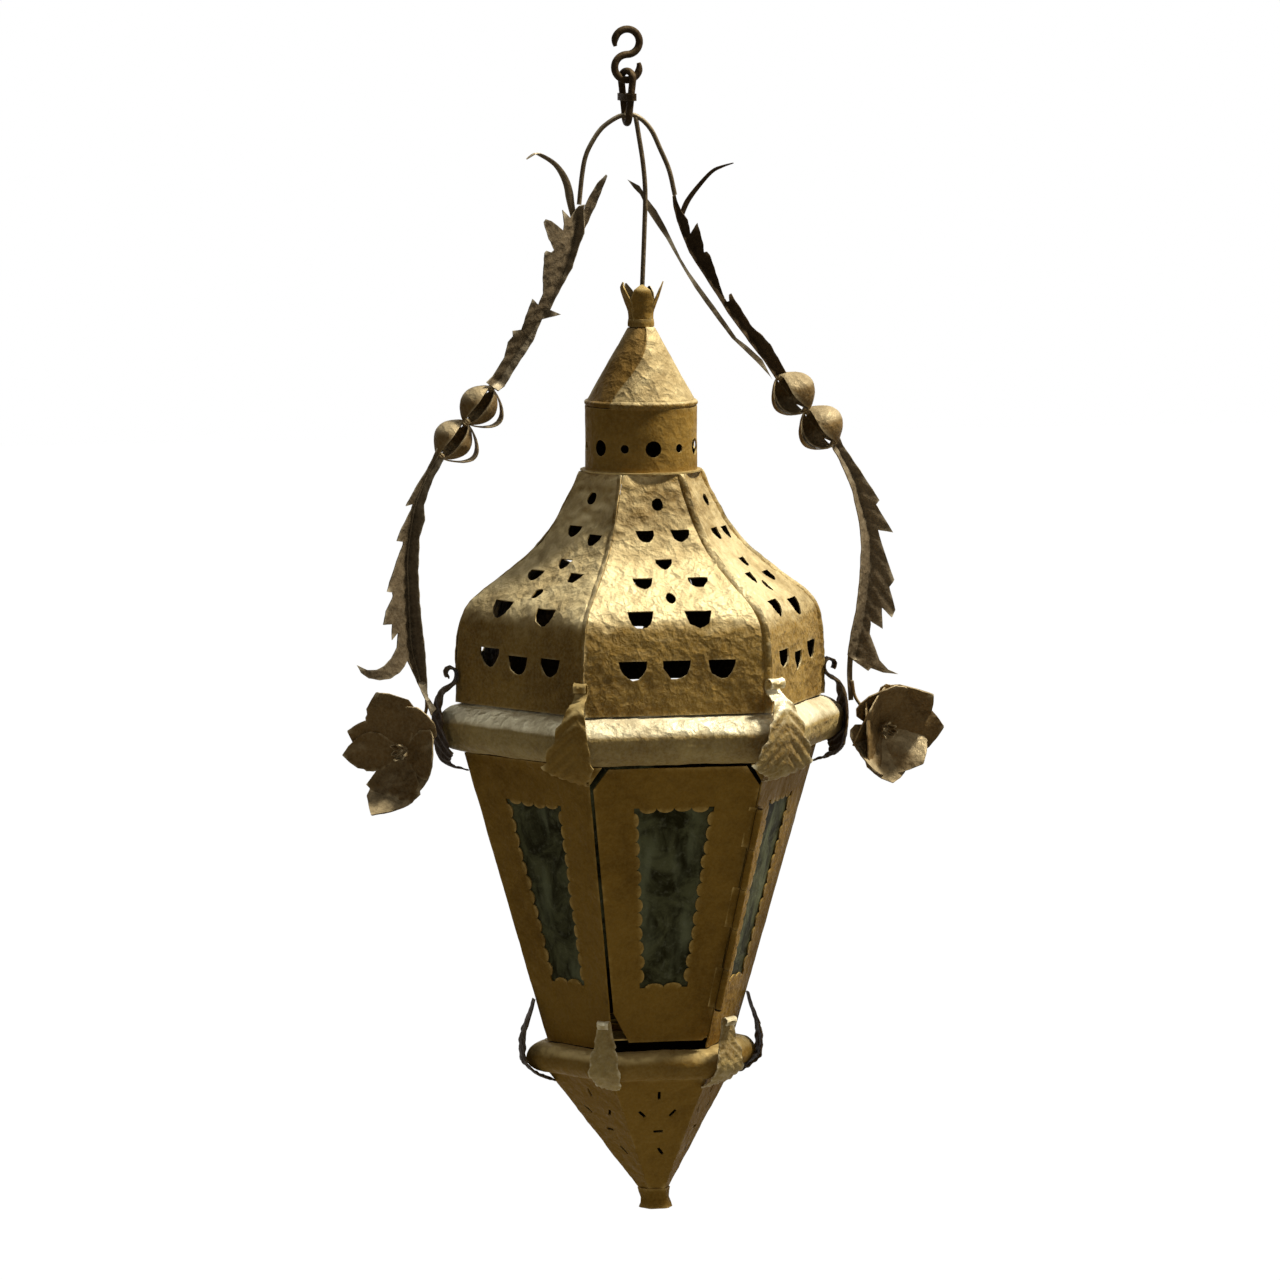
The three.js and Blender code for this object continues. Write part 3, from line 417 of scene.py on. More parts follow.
def merge(*parts):
    """Joins several arrays of points and faces into one."""
    points, faces = [], []
    start = 0
    for some_points, some_faces in parts:
        points.append(some_points)
        faces += [tuple(start + i for i in face) for face in some_faces]
        start += len(some_points)
    return np.vstack(points), faces


def make(name, part, material, replaced, body="lantern"):
    """Makes a Blender mesh of a part, in the place of some nodes, and lets it ride on a body."""
    points, faces = part
    mesh = bpy.data.meshes.new(name)
    mesh.from_pydata([tuple(place) for place in points * MM + LANTERN_AT], [], faces)
    mesh.shade_smooth()
    mesh.set_sharp_from_angle(angle=SHARP_ANGLE)
    mesh.materials.append(material)
    piece = bpy.data.objects.new(name, mesh)
    bpy.context.scene.collection.objects.link(piece)
    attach(piece, body)
    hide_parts(*replaced)


# Materials

def add_node(tree, kind, inputs=None, **settings):
    """A node with a value or a link on each input that is named."""
    made = tree.nodes.new(kind)
    for key, value in settings.items():
        setattr(made, key, value)
    for key, value in (inputs or {}).items():
        if isinstance(value, bpy.types.NodeSocket):
            tree.links.new(value, made.inputs[key])
        else:
            made.inputs[key].default_value = value
    return made


class Shader:
    """A short way to write a material's nodes."""

    def __init__(self, name):
        self.material = bpy.data.materials.new(name)
        self.material.use_nodes = True
        self.tree = self.material.node_tree
        self.tree.nodes.clear()
        self.place = self.node("ShaderNodeTexCoord").outputs["Object"]
        self.from_waist = self.vector("SUBTRACT", self.place, tuple(LANTERN_AT))

    def node(self, kind, inputs=None, **settings):
        return add_node(self.tree, kind, inputs, **settings)

    def noise(self, scale, detail=4, roughness=0.6, distortion=0.0):
        return self.node("ShaderNodeTexNoise", {
            "Vector": self.place, "Scale": scale, "Detail": detail,
            "Roughness": roughness, "Distortion": distortion,
        }).outputs["Fac"]

    def ramp(self, value, low, high, start=0.0, end=1.0):
        """Maps low..high of a value smoothly to start..end."""
        return self.node("ShaderNodeMapRange", {
            "Value": value, "From Min": low, "From Max": high, "To Min": start, "To Max": end,
        }, interpolation_type="SMOOTHSTEP").outputs["Result"]

    def math(self, operation, a, b):
        return self.node("ShaderNodeMath", {0: a, 1: b}, operation=operation).outputs[0]

    def times(self, a, b):
        return self.math("MULTIPLY", a, b)

    def vector(self, operation, a, b=(0, 0, 0), output="Vector"):
        return self.node("ShaderNodeVectorMath", {0: a, 1: b}, operation=operation).outputs[output]

    def mix(self, share, a, b):
        a, b = [value if isinstance(value, bpy.types.NodeSocket) else (*value, 1) for value in (a, b)]
        return self.node("ShaderNodeMix", {0: share, 6: a, 7: b}, data_type="RGBA").outputs[2]

    def bump(self, height, strength):
        return self.node("ShaderNodeBump", {
            "Height": height, "Strength": strength, "Distance": 0.003,
        }).outputs["Normal"]

    def finish(self, **sockets):
        surface = self.node("ShaderNodeBsdfPrincipled", sockets)
        self.node("ShaderNodeOutputMaterial", {"Surface": surface.outputs[0]})
        return self.material


# Near-black for painted shade on faces that look in towards the lantern's axis.
INSIDE_SHADE_COLOUR = (0.012, 0.009, 0.006)


def brass(name, tones, dullness=0.5, crinkle=0.6, highlight_and_dust_share=0.8, inside_shade=0.0, painted_shade=None):
    """Aged brass sheet in a dark, a middle and a light tone: soft patches of patina, grime in the
    hollows, bright worn ridges and edges, a pale painted highlight, partly dust, on what faces up,
    painted shade on what faces the lantern's axis, and any painted shade that is passed in."""
    dark, middle, light = tones
    shader = Shader(name)
    patches = shader.noise(11, 4, 0.55, 0.4)
    blotches = shader.noise(75, 6, 0.7, 0.4)
    grain = shader.noise(480, 3, 0.6)
    age = shader.math("ADD", shader.times(patches, 0.6), shader.times(blotches, 0.4))
    colour = shader.mix(shader.ramp(age, 0.34, 0.6), dark, middle)
    geometry = shader.node("ShaderNodeNewGeometry").outputs
    edges = geometry["Pointiness"]
    worn = shader.times(shader.ramp(edges, 0.54, 0.66), shader.ramp(blotches, 0.3, 0.6, 0.3, 0.9))
    # Paler on what faces up: a painted highlight, partly dust.
    way_up = shader.node("ShaderNodeSeparateXYZ", {"Vector": geometry["Normal"]}).outputs["Z"]
    upward_highlight_and_dust = shader.times(shader.ramp(way_up, 0.12, 0.62), shader.ramp(age, 0.36, 0.6, 0.35, 1.0))
    bright = shader.math("MAXIMUM", worn, shader.times(upward_highlight_and_dust, highlight_and_dust_share))
    colour = shader.mix(bright, colour, light)
    grime = shader.math("MAXIMUM", shader.ramp(edges, 0.495, 0.44), shader.ramp(age, 0.4, 0.3, 0.0, 0.7))
    colour = shader.mix(shader.times(grime, 0.6), colour, [0.35 * value for value in dark])
    colour = shader.mix(shader.ramp(grain, 0.3, 0.75, 0.0, 0.14), colour, light)
    # Painted shade from a mask that is passed in.
    if painted_shade:
        colour = shader.mix(painted_shade(shader), colour, dark)
    if inside_shade:
        # Painted shade: faces that look in towards the lantern's axis darken to near-black.
        outward = shader.vector("NORMALIZE", shader.vector("MULTIPLY", shader.from_waist, (1, 1, 0)))
        normal = shader.node("ShaderNodeTexCoord").outputs["Normal"]
        facing = shader.vector("DOT_PRODUCT", outward, normal, "Value")
        colour = shader.mix(shader.ramp(facing, -0.12, -0.35, 0.0, inside_shade), colour, INSIDE_SHADE_COLOUR)
    wander = shader.node("ShaderNodeTexNoise", {"Vector": shader.place, "Scale": 90.0}).outputs["Color"]
    place = shader.vector("ADD", shader.place, shader.vector("MULTIPLY", wander, (0.009, 0.009, 0.009)))
    creases, fine = [
        shader.node("ShaderNodeTexVoronoi", {"Vector": place, "Scale": scale}, feature="F1").outputs[0]
        for scale in (130.0, 320.0)
    ]
    height = shader.math("ADD", shader.times(blotches, 1.3), shader.times(creases, 0.9))
    height = shader.math("ADD", height, shader.times(fine, 0.3))
    return shader.finish(**{
        "Base Color": colour, "Roughness": shader.ramp(age, 0.35, 0.65, dullness + 0.1, dullness - 0.1),
        "Metallic": shader.times(bright, 0.3), "Specular IOR Level": 0.02,
        "Normal": shader.bump(height, crinkle),
    })


def painted_cap_shade(shader):
    """Painted shade on the cap to the left of its slanted lap, thickest at the lap."""
    place = shader.node("ShaderNodeSeparateXYZ", {"Vector": shader.from_waist}).outputs
    angle = shader.math("ARCTAN2", place["Y"], place["X"])
    lean = shader.ramp(place["Z"], CAP_BASE * MM, (CAP_BASE + CAP_HEIGHT) * MM, 0.0, LAP_LEAN)
    past = shader.math("SUBTRACT", shader.math("SUBTRACT", angle, LAP_START - math.pi / 2), lean)
    return shader.times(shader.ramp(past, 0.03, -0.03), shader.ramp(past, -2.4, -0.7, 0.0, 0.85))


def old_glass(name):
    """Dusty old glass, grey-green and mottled, with pale streaks down its length painted in as a
    reflection.
    """
    shader = Shader(name)
    cloud = shader.noise(45, 5, 0.65, 0.8)
    speckle = shader.noise(260, 4, 0.6)
    # The pale streaks down the pane are a painted reflection.
    drawn = shader.node("ShaderNodeMapping", {"Vector": shader.place, "Scale": (1, 1, 0.16)}).outputs[0]
    reflection_streaks = shader.node("ShaderNodeTexNoise", {
        "Vector": drawn, "Scale": 60.0, "Detail": 3.0,
    }).outputs["Fac"]
    colour = shader.mix(shader.ramp(cloud, 0.36, 0.66), (0.024, 0.021, 0.007), (0.13, 0.13, 0.058))
    colour = shader.mix(shader.ramp(reflection_streaks, 0.5, 0.7, 0.0, 0.7), colour, (0.22, 0.23, 0.12))
    colour = shader.mix(shader.ramp(speckle, 0.52, 0.72, 0.0, 0.3), colour, (0.26, 0.26, 0.17))
    return shader.finish(**{
        "Base Color": colour, "Roughness": 0.5, "IOR": 1.12, "Transmission Weight": 0.06,
        "Specular IOR Level": 0.12, "Specular Tint": (0.8, 0.85, 0.55, 1),
        "Normal": shader.bump(cloud, 0.4),
    })


GOLD_TONES = [(0.19, 0.1, 0.016), (0.36, 0.215, 0.048), (0.88, 0.73, 0.4)]
# A lighter copy of the gold: painted light for the waist roll and for leaves that should look lit.
LIT_GOLD_TONES = [(0.27, 0.16, 0.04), (0.52, 0.37, 0.13), (0.95, 0.86, 0.58)]
NECK_TONES = [(0.19, 0.098, 0.014), (0.33, 0.19, 0.038), (0.6, 0.46, 0.2)]
WALL_TONES = [(0.19, 0.096, 0.012), (0.31, 0.168, 0.024), (0.55, 0.38, 0.13)]
LEAF_TONES = [(0.085, 0.058, 0.03), (0.16, 0.114, 0.062), (0.55, 0.46, 0.3)]
# Near-black: the hook, link and hinge pin are dark, and leaves in shade get it as painted shade.
DARK_AND_SHADED_TONES = [(0.018, 0.011, 0.005), (0.05, 0.03, 0.014), (0.2, 0.14, 0.07)]
ROSE_TONES = [(0.06, 0.031, 0.008), (0.22, 0.13, 0.042), (0.66, 0.54, 0.32)]

# The dome, neck and walls get painted shade on their inner faces.
GOLD = brass("worn_gold", GOLD_TONES, 0.5, 0.6, inside_shade=0.9)
# The cap is painted darker to the left of its lap, as shade.
CAP = brass("cap_gold", GOLD_TONES, 0.5, 0.6, painted_shade=painted_cap_shade)
# The lighter copy, with the most painted highlight on what faces up.
LIT_GOLD = brass("lit_gold", LIT_GOLD_TONES, 0.45, 0.5, 1.0)
NECK = brass("neck_brass", NECK_TONES, 0.52, 0.3, inside_shade=0.9)
WALL = brass("wall_brass", WALL_TONES, 0.52, 0.35, 0.6, inside_shade=0.8)
LEAF = brass("leaf_brass", LEAF_TONES, 0.5, 0.35, 0.7)
DARK_AND_SHADED = brass("dark_leaf", DARK_AND_SHADED_TONES, 0.5, 0.35, 0.4)
ROSE = brass("rose_brass", ROSE_TONES, 0.5, 0.45, 0.6)
GLASS = old_glass("old_glass")


# Hook, link and straps

def hook_arc(height, start, end):
    """One bend of the hook about a centre at a height."""
    angles = np.radians(np.linspace(start, end, 30))
    return np.column_stack([
        HANG_OFFSET + HOOK_BEND * np.cos(angles), np.zeros(30), height + HOOK_BEND * np.sin(angles),
    ])


hook_line = np.vstack([
    hook_arc(HOOK_LOW + HOOK_BEND, 20, -265),
    hook_arc(HOOK_LOW + 3 * HOOK_BEND, -80, 200),
])
hook_taper = np.interp(np.linspace(0, 1, 70), [0, 0.06, 0.94, 1], [0.55, 1, 1, 0.5])
hook = tube(Path(hook_line).even(70), HOOK_WIRE * hook_taper, 14)
make("hook_wire", hook, DARK_AND_SHADED, ["top_hook"], "hook")


def link_line():
    """The link is a long ring that turns towards its top."""
    low, high = LINK_LOW + LINK_HALF, LINK_TOP - LINK_HALF
    points = []
    for step in range(32):
        angle = (step + 0.5) / 32 * 2 * math.pi
        z = (high if math.sin(angle) > 0 else low) + LINK_HALF * math.sin(angle)
        turn = math.radians(LINK_TURN) * max(0, (z - low) / (high - low))
        y = LINK_HALF * math.cos(angle)
        points.append((HANG_OFFSET - y * math.sin(turn), y * math.cos(turn), z))
    return points


def link_band():
    """The sheet wound round the link's middle."""
    turn = math.radians(LINK_TURN / 2)
    angles = full_turn(36)
    along = (LINK_HALF + BAND_DEPTH * np.abs(np.cos(angles))) * np.cos(angles)
    across = BAND_DEPTH * np.sign(np.sin(angles)) * np.abs(np.sin(angles)) ** 0.7
    rows = [
        np.column_stack([
            HANG_OFFSET + across * math.cos(turn) - along * math.sin(turn),
            across * math.sin(turn) + along * math.cos(turn),
            np.full(36, z),
        ])
        for z in np.linspace(-2.5, 2.5, 6) + (LINK_LOW + LINK_TOP) / 2
    ]
    return thicken(np.vstack(rows), grid_faces(6, 36, True), SHEET)


link = merge(tube(link_line(), LINK_WIRE, 14, True, start_side=(1, 0, 0)), link_band())
make("link_wire", link, DARK_AND_SHADED, ["hanging_link"], "link")


def leg(end, shape):
    """Points of the arch, by their shares of the way out and down from its crest."""
    across, down = end[0] - ARCH_CREST[0], end[1] - ARCH_CREST[1]
    return [(ARCH_CREST[0] + across * out, 0, ARCH_CREST[1] + down * low) for out, low in shape]


arch_path = Path([
    *leg(LEFT_STRAP_END, [(1, 1), (0.94, 0.68), (0.87, 0.47), (0.74, 0.31), (0.52, 0.14), (0.2, 0.02)]),
    (ARCH_CREST[0], 0, ARCH_CREST[1]),
    *leg(RIGHT_STRAP_END, [(0.15, 0), (0.34, 0.07), (0.52, 0.2), (0.69, 0.42), (0.88, 0.69), (1, 1)]),
])
arch = tube(arch_path.even(90), STRAP_WIRE, flatten=(1.0, 0.85))
make("strap_over", arch, LEAF, ["strap_arch"])

centre_path = Path([
    (-3.8, 0, 423.4), (-1.6, 0, 410.4), (1.4, 0, 391.4), (3, 0, 371.4), (2.4, 0, 344.4),
    (0.6, 0, COLLAR_BASE + 21.3), (0, 0, COLLAR_BASE + 1.3),
])
centre = tube(centre_path.even(70), STRAP_WIRE, flatten=(0.95, 0.85))
make("strap_down", centre, LEAF, ["centre_strap"])


# Cap and finial

def lap(points):
    """The cap's sheet overlaps itself along a slanted line on its front."""
    angle = np.arctan2(points[:, 1], points[:, 0]) + math.pi / 2
    height = (points[:, 2] - CAP_BASE) / CAP_HEIGHT
    past = angle - (LAP_START + LAP_LEAN * height)
    return smooth(past / 0.03 + 0.5) * smooth((1.6 - past) / 1.2)


brim = [(
    BRIM_RADIUS - BRIM_ROLL + BRIM_ROLL * math.cos(math.radians(angle)),
    CAP_BASE + BRIM_ROLL * math.sin(math.radians(angle)),
) for angle in range(-160, 91, 25)]
cap_start = np.array(brim[-1])
cap_end = np.array([COLLAR_RADIUS, CAP_BASE + CAP_HEIGHT])
cap_outer = cap_start + (cap_end - cap_start) * np.linspace(0, 1, 34)[1:, None]
cap_inner = cap_outer[::-1] - np.array([1.0, 0.8])
cap = revolve(np.vstack([brim, cap_outer, cap_inner]), 120, (13, 0.42, 11), lap)
make("cap_sheet", cap, CAP, ["cap_cone"])


def crown_petal(turn, reach, height, width, hook_out, seed):
    """One petal of the finial, leaning out and then curling at its tip."""
    line = Path([
        (COLLAR_RADIUS - 0.9, 5), (COLLAR_RADIUS - 0.6, 11), (COLLAR_RADIUS + reach * 0.5, 0.62 * height),
        (COLLAR_RADIUS + reach, 0.86 * height), (COLLAR_RADIUS + reach + hook_out, height),
    ])
    runs = np.linspace(0, line.length, 16)
    wide = width * np.interp(runs / line.length, [0, 0.25, 0.55, 0.8, 1], [0.75, 0.9, 1, 0.7, 0.08])
    rows = []
    for (radius, z), half in zip(line.at(runs), wide):
        across = np.linspace(-1, 1, 9) * half
        rows.append(np.column_stack([across, -radius + across ** 2 * 0.045, np.full(9, COLLAR_BASE + z)]))
    return turned(thicken(np.vstack(rows), grid_faces(16, 9), LEAF_SHEET, (7, 0.35, seed)), turn)


COLLAR = [(0.01, 0), (7.6, 0), (9.2, 0.8), (9.4, 3), (9.0, 6), (8.1, 6.2), (8.2, 2), (0.01, 1)]
CROWN = [
    (-8, 1.2, 30, 8.2, -4.5), (70, 5, 32, 5.4, 1.5), (142, 4, 28, 6, 1), (214, 4, 30, 6, 1.5),
    (286, 6, 32, 5, -1),
]
collar = revolve([(radius, COLLAR_BASE + z) for radius, z in COLLAR], 40, (8, 0.25, 5))
crown = merge(collar, *[crown_petal(*form, 21 + index) for index, form in enumerate(CROWN)])
make("finial_petals", crown, NECK, ["finial_crown"])


# Neck drum

def circle(x, y, radius):
    angles = full_turn(14)
    return np.column_stack([x + radius * np.cos(angles), y + radius * np.sin(angles)])


def neck_shape(flat):
    angle = flat[:, 0] / NECK_RADIUS - math.pi / 2
    return np.column_stack([NECK_RADIUS * np.cos(angle), NECK_RADIUS * np.sin(angle), flat[:, 1]])


def box_outline(half, low, high):
    return [(-half, low), (half, low), (half, high), (-half, high)]


neck_half = math.pi * NECK_RADIUS - 0.05
neck_outline = box_outline(neck_half, NECK_BASE + SHEET, NECK_BASE + NECK_HEIGHT)
neck_holes = []
for k in range(-5, 6):
    rise = NECK_HOLE_HEIGHT + (NECK_BACK_RISE if abs(k) > 3 else 0)
    neck_holes.append(circle(k * math.radians(30) * NECK_RADIUS, NECK_BASE + rise, NECK_HOLE_RADII[k % 2]))
flat, triangles = fill(neck_outline, neck_holes, 2.6)
neck_wall = thicken(neck_shape(flat), triangles, SHEET, (12, 0.35, 31))
inner, outer = NECK_FLANGE
neck_flange = revolve([
    (inner, NECK_BASE), (outer, NECK_BASE), (outer, NECK_BASE + SHEET), (inner, NECK_BASE + SHEET),
], 90, (9, 0.3, 33))
make("neck_sheet", merge(neck_wall, neck_flange), NECK, ["neck_drum"])


# Dome panels

dome_path = Path([
    (DOME_TOP_RADIUS + (WAIST_RADIUS - DOME_TOP_RADIUS) * wide, DOME_BASE + DOME_HEIGHT * high)
    for wide, high in DOME_SHARES
])
# Across from the panel's middle, height, width and depth of each vent
VENTS = [
    (-32, 49, 20, 13), (-1, 49, 20, 13), (31, 49, 20, 13),
    (-25, 83, 18.5, 11.5), (16, 83, 18.5, 11.5),
    (-1, 97, 7, 7),
    (-18, 106, 14, 6.5), (21, 106, 14, 6.5),
    (0, 118, 12, 6),
    (-10, 136, 13, 8), (15, 136, 13, 8),
    (1, 157, 8.5, 8.5),
]


def dome_half(run):
    return dome_path.at(run)[:, 0] * COS30 * TAN30 - SEAM_GAP


def dome_shape(flat):
    side, run = flat.T
    radius, height = dome_path.at(run).T
    way = dome_path.way(run)
    out = unit(np.column_stack([way[:, 1], -way[:, 0] * COS30]))
    half = dome_half(run)
    past = side - half + SEAM_WIDTH
    lift = SEAM_HEIGHT * smooth(past / 1.2) - SEAM_GROOVE * np.exp(-((past + 0.8) / 0.8) ** 2)
    return np.column_stack([side, -(radius * COS30 + lift * out[:, 0]), height + lift * out[:, 1]])


# Across and up. Vents that lie in line through the lantern would show the room behind it.
BACK_VENT_SHIFTS = {2: (-3, 10), 3: (11, 0), 4: (11, 8)}


def vent(x, z, width, height, seed):
    """A punched hole: round, or a half-moon with its flat side up."""
    jitter = np.random.default_rng(seed)
    is_round = width == height
    spots = []
    for angle in full_turn(12) if is_round else np.linspace(0, math.pi, 9):
        swell = 1 + jitter.uniform(-0.06, 0.06)
        down = math.sin(angle) * (0.5 if is_round else 1.0)
        level = z + (0 if is_round else height / 2) - height * down * swell
        run = float(np.interp(level, dome_path.points[:, 1], dome_path.run))
        spots.append((x - width / 2 * math.cos(angle) * swell, run))
    return spots


dome_runs = np.linspace(0, dome_path.length, 60)
dome_edge = dome_half(dome_runs)
dome_outline = [*zip(dome_edge, dome_runs), *zip(-dome_edge[::-1], dome_runs[::-1])]
seam_lines = [[*zip(dome_edge - SEAM_WIDTH + step, dome_runs)] for step in (-0.8, 0.5)]
for k in SIDES:
    sway = VENT_STRAY if k else 0
    stray = np.random.default_rng(90 + k).uniform(-1, 1, (len(VENTS), 2)) * sway
    across, rise = BACK_VENT_SHIFTS.get(k, (0, 0))
    holes = []
    for index, (x, z, width, height) in enumerate(VENTS):
        narrow = np.interp(z, dome_path.points[:, 1], dome_path.points[:, 0]) / WAIST_RADIUS
        over, up = stray[index]
        holes.append(vent(x + over + across * narrow, z + up + rise, width, height, 17 * k + index))
    flat, triangles = fill(dome_outline, holes, 2.4, seam_lines)
    part = turned(thicken(dome_shape(flat), triangles, SHEET, (13, 0.95, 41 + 3 * k)), 60 * k)
    make(f"dome_sheet_{k + 1}", part, GOLD, [f"dome_panel_{k + 1}"])


# Rolls

def hex_tube(radius, height, tube_radius, seed, depth, lap_depth=0.0):
    """A tube bent round the hexagon with mitred corners, its sheet lapped along the front."""
    around = 60
    along = 34
    angles = full_turn(around)
    wide = radius + tube_radius * np.cos(angles) / COS30
    rings = []
    for corner in SIDES:
        turn = math.radians(60 * corner)
        rings.append(np.column_stack([
            wide * math.cos(turn), wide * math.sin(turn), height + tube_radius * np.sin(angles),
        ]))
    points = np.vstack([
        start + (end - start) * step / along
        for start, end in zip(rings, rings[1:] + rings[:1])
        for step in range(along)
    ])
    faces = [tuple(reversed(face)) for face in grid_faces(6 * along, around, True, True)]
    turn = np.tile(np.degrees(angles), 6 * along)
    lapped = lap_depth * smooth((turn - 3) / 5) * smooth((48 - turn) / 40)
    rise = dents(points, 16, depth, seed) + lapped
    return points + normals_of(points, faces) * rise[:, None], faces


waist_tube = hex_tube(WAIST_ROLL_RADIUS, 0, WAIST_TUBE - 0.9, 61, 0.7, 0.9)
# The waist roll takes the lighter gold as painted light.
make("waist_tube", waist_tube, LIT_GOLD, ["waist_roll"])
lower_tube = hex_tube(LOWER_ROLL_RADIUS, LOWER_ROLL_HEIGHT, LOWER_TUBE - 0.2, 64, 0.8)
make("lower_tube", lower_tube, NECK, ["lower_roll"])


# Walls, door, panes and hinge

def wall_shape(flat, depth=0.0):
    """Lays a flat wall, with its top edge at zero, on the slanted front of the body."""
    side, up = flat.T
    apothem = (WAIST_RADIUS + TAPER * BODY_TOP) * COS30
    drop = up * math.cos(WALL_TILT)
    out = apothem + up * math.sin(WALL_TILT)
    return np.column_stack([
        side, -out + depth * math.cos(WALL_TILT), BODY_TOP + drop + depth * math.sin(WALL_TILT),
    ])


WINDOW = [
    (-WINDOW_BOTTOM / 2, -WINDOW_TOP_MARGIN - WINDOW_LENGTH),
    (WINDOW_BOTTOM / 2, -WINDOW_TOP_MARGIN - WINDOW_LENGTH),
    (WINDOW_TOP / 2, -WINDOW_TOP_MARGIN),
    (-WINDOW_TOP / 2, -WINDOW_TOP_MARGIN),
]


def window_outline(seed):
    """A trapezium whose edge is cut into small round tabs that point inward."""
    jitter = np.random.default_rng(seed)
    points = []
    for start, end in zip(np.array(WINDOW), np.roll(WINDOW, -1, axis=0)):
        length = np.linalg.norm(end - start)
        along = (end - start) / length
        inward = np.array([-along[1], along[0]])
        run = length - 2 * TAB_DEPTH
        tabs = round(run / TAB_PITCH)
        points.append(start)
        for tab in range(tabs):
            deep = TAB_DEPTH * jitter.uniform(0.75, 1.1)
            for angle in np.linspace(0, math.pi, 8)[:-1]:
                place = TAB_DEPTH + run * (tab + (1 - math.cos(angle)) / 2) / tabs
                points.append(start + along * place + inward * deep * math.sin(angle))
        points.append(start + along * (length - TAB_DEPTH))
    return points


def half_width(up):
    return (WAIST_RADIUS + TAPER * (BODY_TOP + up * math.cos(WALL_TILT))) / 2


def wall(outline, seed):
    flat, triangles = fill(outline, [window_outline(seed)], 3.2)
    return thicken(wall_shape(flat), triangles, SHEET, (20, 0.45, seed))


foot_half = half_width(-WALL_LENGTH) - SEAM_GAP
head_half = half_width(0) - SEAM_GAP
wall_outline = [(-foot_half, -WALL_LENGTH), (foot_half, -WALL_LENGTH), (head_half, 0), (-head_half, 0)]


def door_edge(side, gap, foot_cut):
    top, bottom = -DOOR_GAPS["top"], -WALL_LENGTH + DOOR_GAPS["bottom"]
    return [
        (side * (half_width(bottom) - gap - foot_cut[0]), bottom),
        (side * (half_width(bottom + foot_cut[1]) - gap), bottom + foot_cut[1]),
        (side * (half_width(top - DOOR_TOP_CUT[1]) - gap), top - DOOR_TOP_CUT[1]),
        (side * (half_width(top) - gap - DOOR_TOP_CUT[0]), top),
    ]


door_outline = door_edge(1, DOOR_GAPS["hinge"], DOOR_HEEL_CUT)
door_outline += door_edge(-1, DOOR_GAPS["free"], DOOR_BOTTOM_CUT)[::-1]


def corner_tab(side):
    """The neighbours' tabs fill the door's cut upper corners."""
    across, down = DOOR_TOP_CUT
    outline = [
        (side * (half_width(0) - across + CORNER_TAB_GAP), 0),
        (side * half_width(0), 0),
        (side * half_width(-down), -down),
        (side * (half_width(-down) - FIT), -down + CORNER_TAB_GAP),
    ]
    flat, triangles = fill(outline[::-side], (), 3)
    return thicken(wall_shape(flat), triangles, SHEET, (12, 0.25, 79))


hinge = next(joint for joint in frame["joints"] if joint["name"] == "door_hinge")
hinge_at = (np.array(hinge["pos_m"]) - LANTERN_AT) / MM
hinge_way = np.array(hinge["axis"]) / np.linalg.norm(hinge["axis"])


def barrel(start, end, radius, seed):
    """A rolled knuckle or pin between two distances down the hinge's axis."""
    runs = np.linspace(start, end, 12)
    ease = np.interp(np.linspace(0, 1, 12), [0, 0.08, 0.92, 1], [0.86, 1, 1, 0.86])
    line = hinge_at - hinge_way * runs[:, None]
    points, faces = tube(line, radius * ease, 14, start_side=(1, 0, 0))
    return points + normals_of(points, faces) * dents(points, 9, 0.2, seed)[:, None], faces


def hinge_leaf(slot, turn, inward):
    """The strip that joins a knuckle to the outer face of its sheet."""
    outward = turned_by(np.array([0, -math.cos(WALL_TILT), -math.sin(WALL_TILT)]), turn)
    along = turned_by(np.array([inward, 0, 0]), turn)
    along = along - hinge_way * (along @ hinge_way)
    along /= np.linalg.norm(along)
    middle = hinge_at - hinge_way * (KNUCKLE_TOP + (slot + 0.5) * KNUCKLE_LENGTH)
    line = [middle + along * reach - outward * (KNUCKLE_RADIUS + drop) for reach, drop in [
        (0, -0.6), (KNUCKLE_RADIUS, -0.4), (KNUCKLE_RADIUS + 1, 0.1), (HINGE_LEAF_WIDTH, 0.1),
    ]]
    return ribbon(line, [KNUCKLE_LENGTH - 2 * KNUCKLE_PLAY] * 2, hinge_way, 0)


def knuckles(first, turn, inward):
    """Every second knuckle of the hinge, each with its strip."""
    parts = []
    for slot in range(first, KNUCKLE_COUNT, 2):
        start = KNUCKLE_TOP + slot * KNUCKLE_LENGTH + KNUCKLE_PLAY
        end = KNUCKLE_TOP + (slot + 1) * KNUCKLE_LENGTH - KNUCKLE_PLAY
        parts += [barrel(start, end, KNUCKLE_RADIUS, 70 + slot), hinge_leaf(slot, turn, inward)]
    return parts


door = merge(wall(door_outline, 71), *knuckles(0, 0, -1))
make("door_sheet", door, WALL, ["door_panel"], "door")

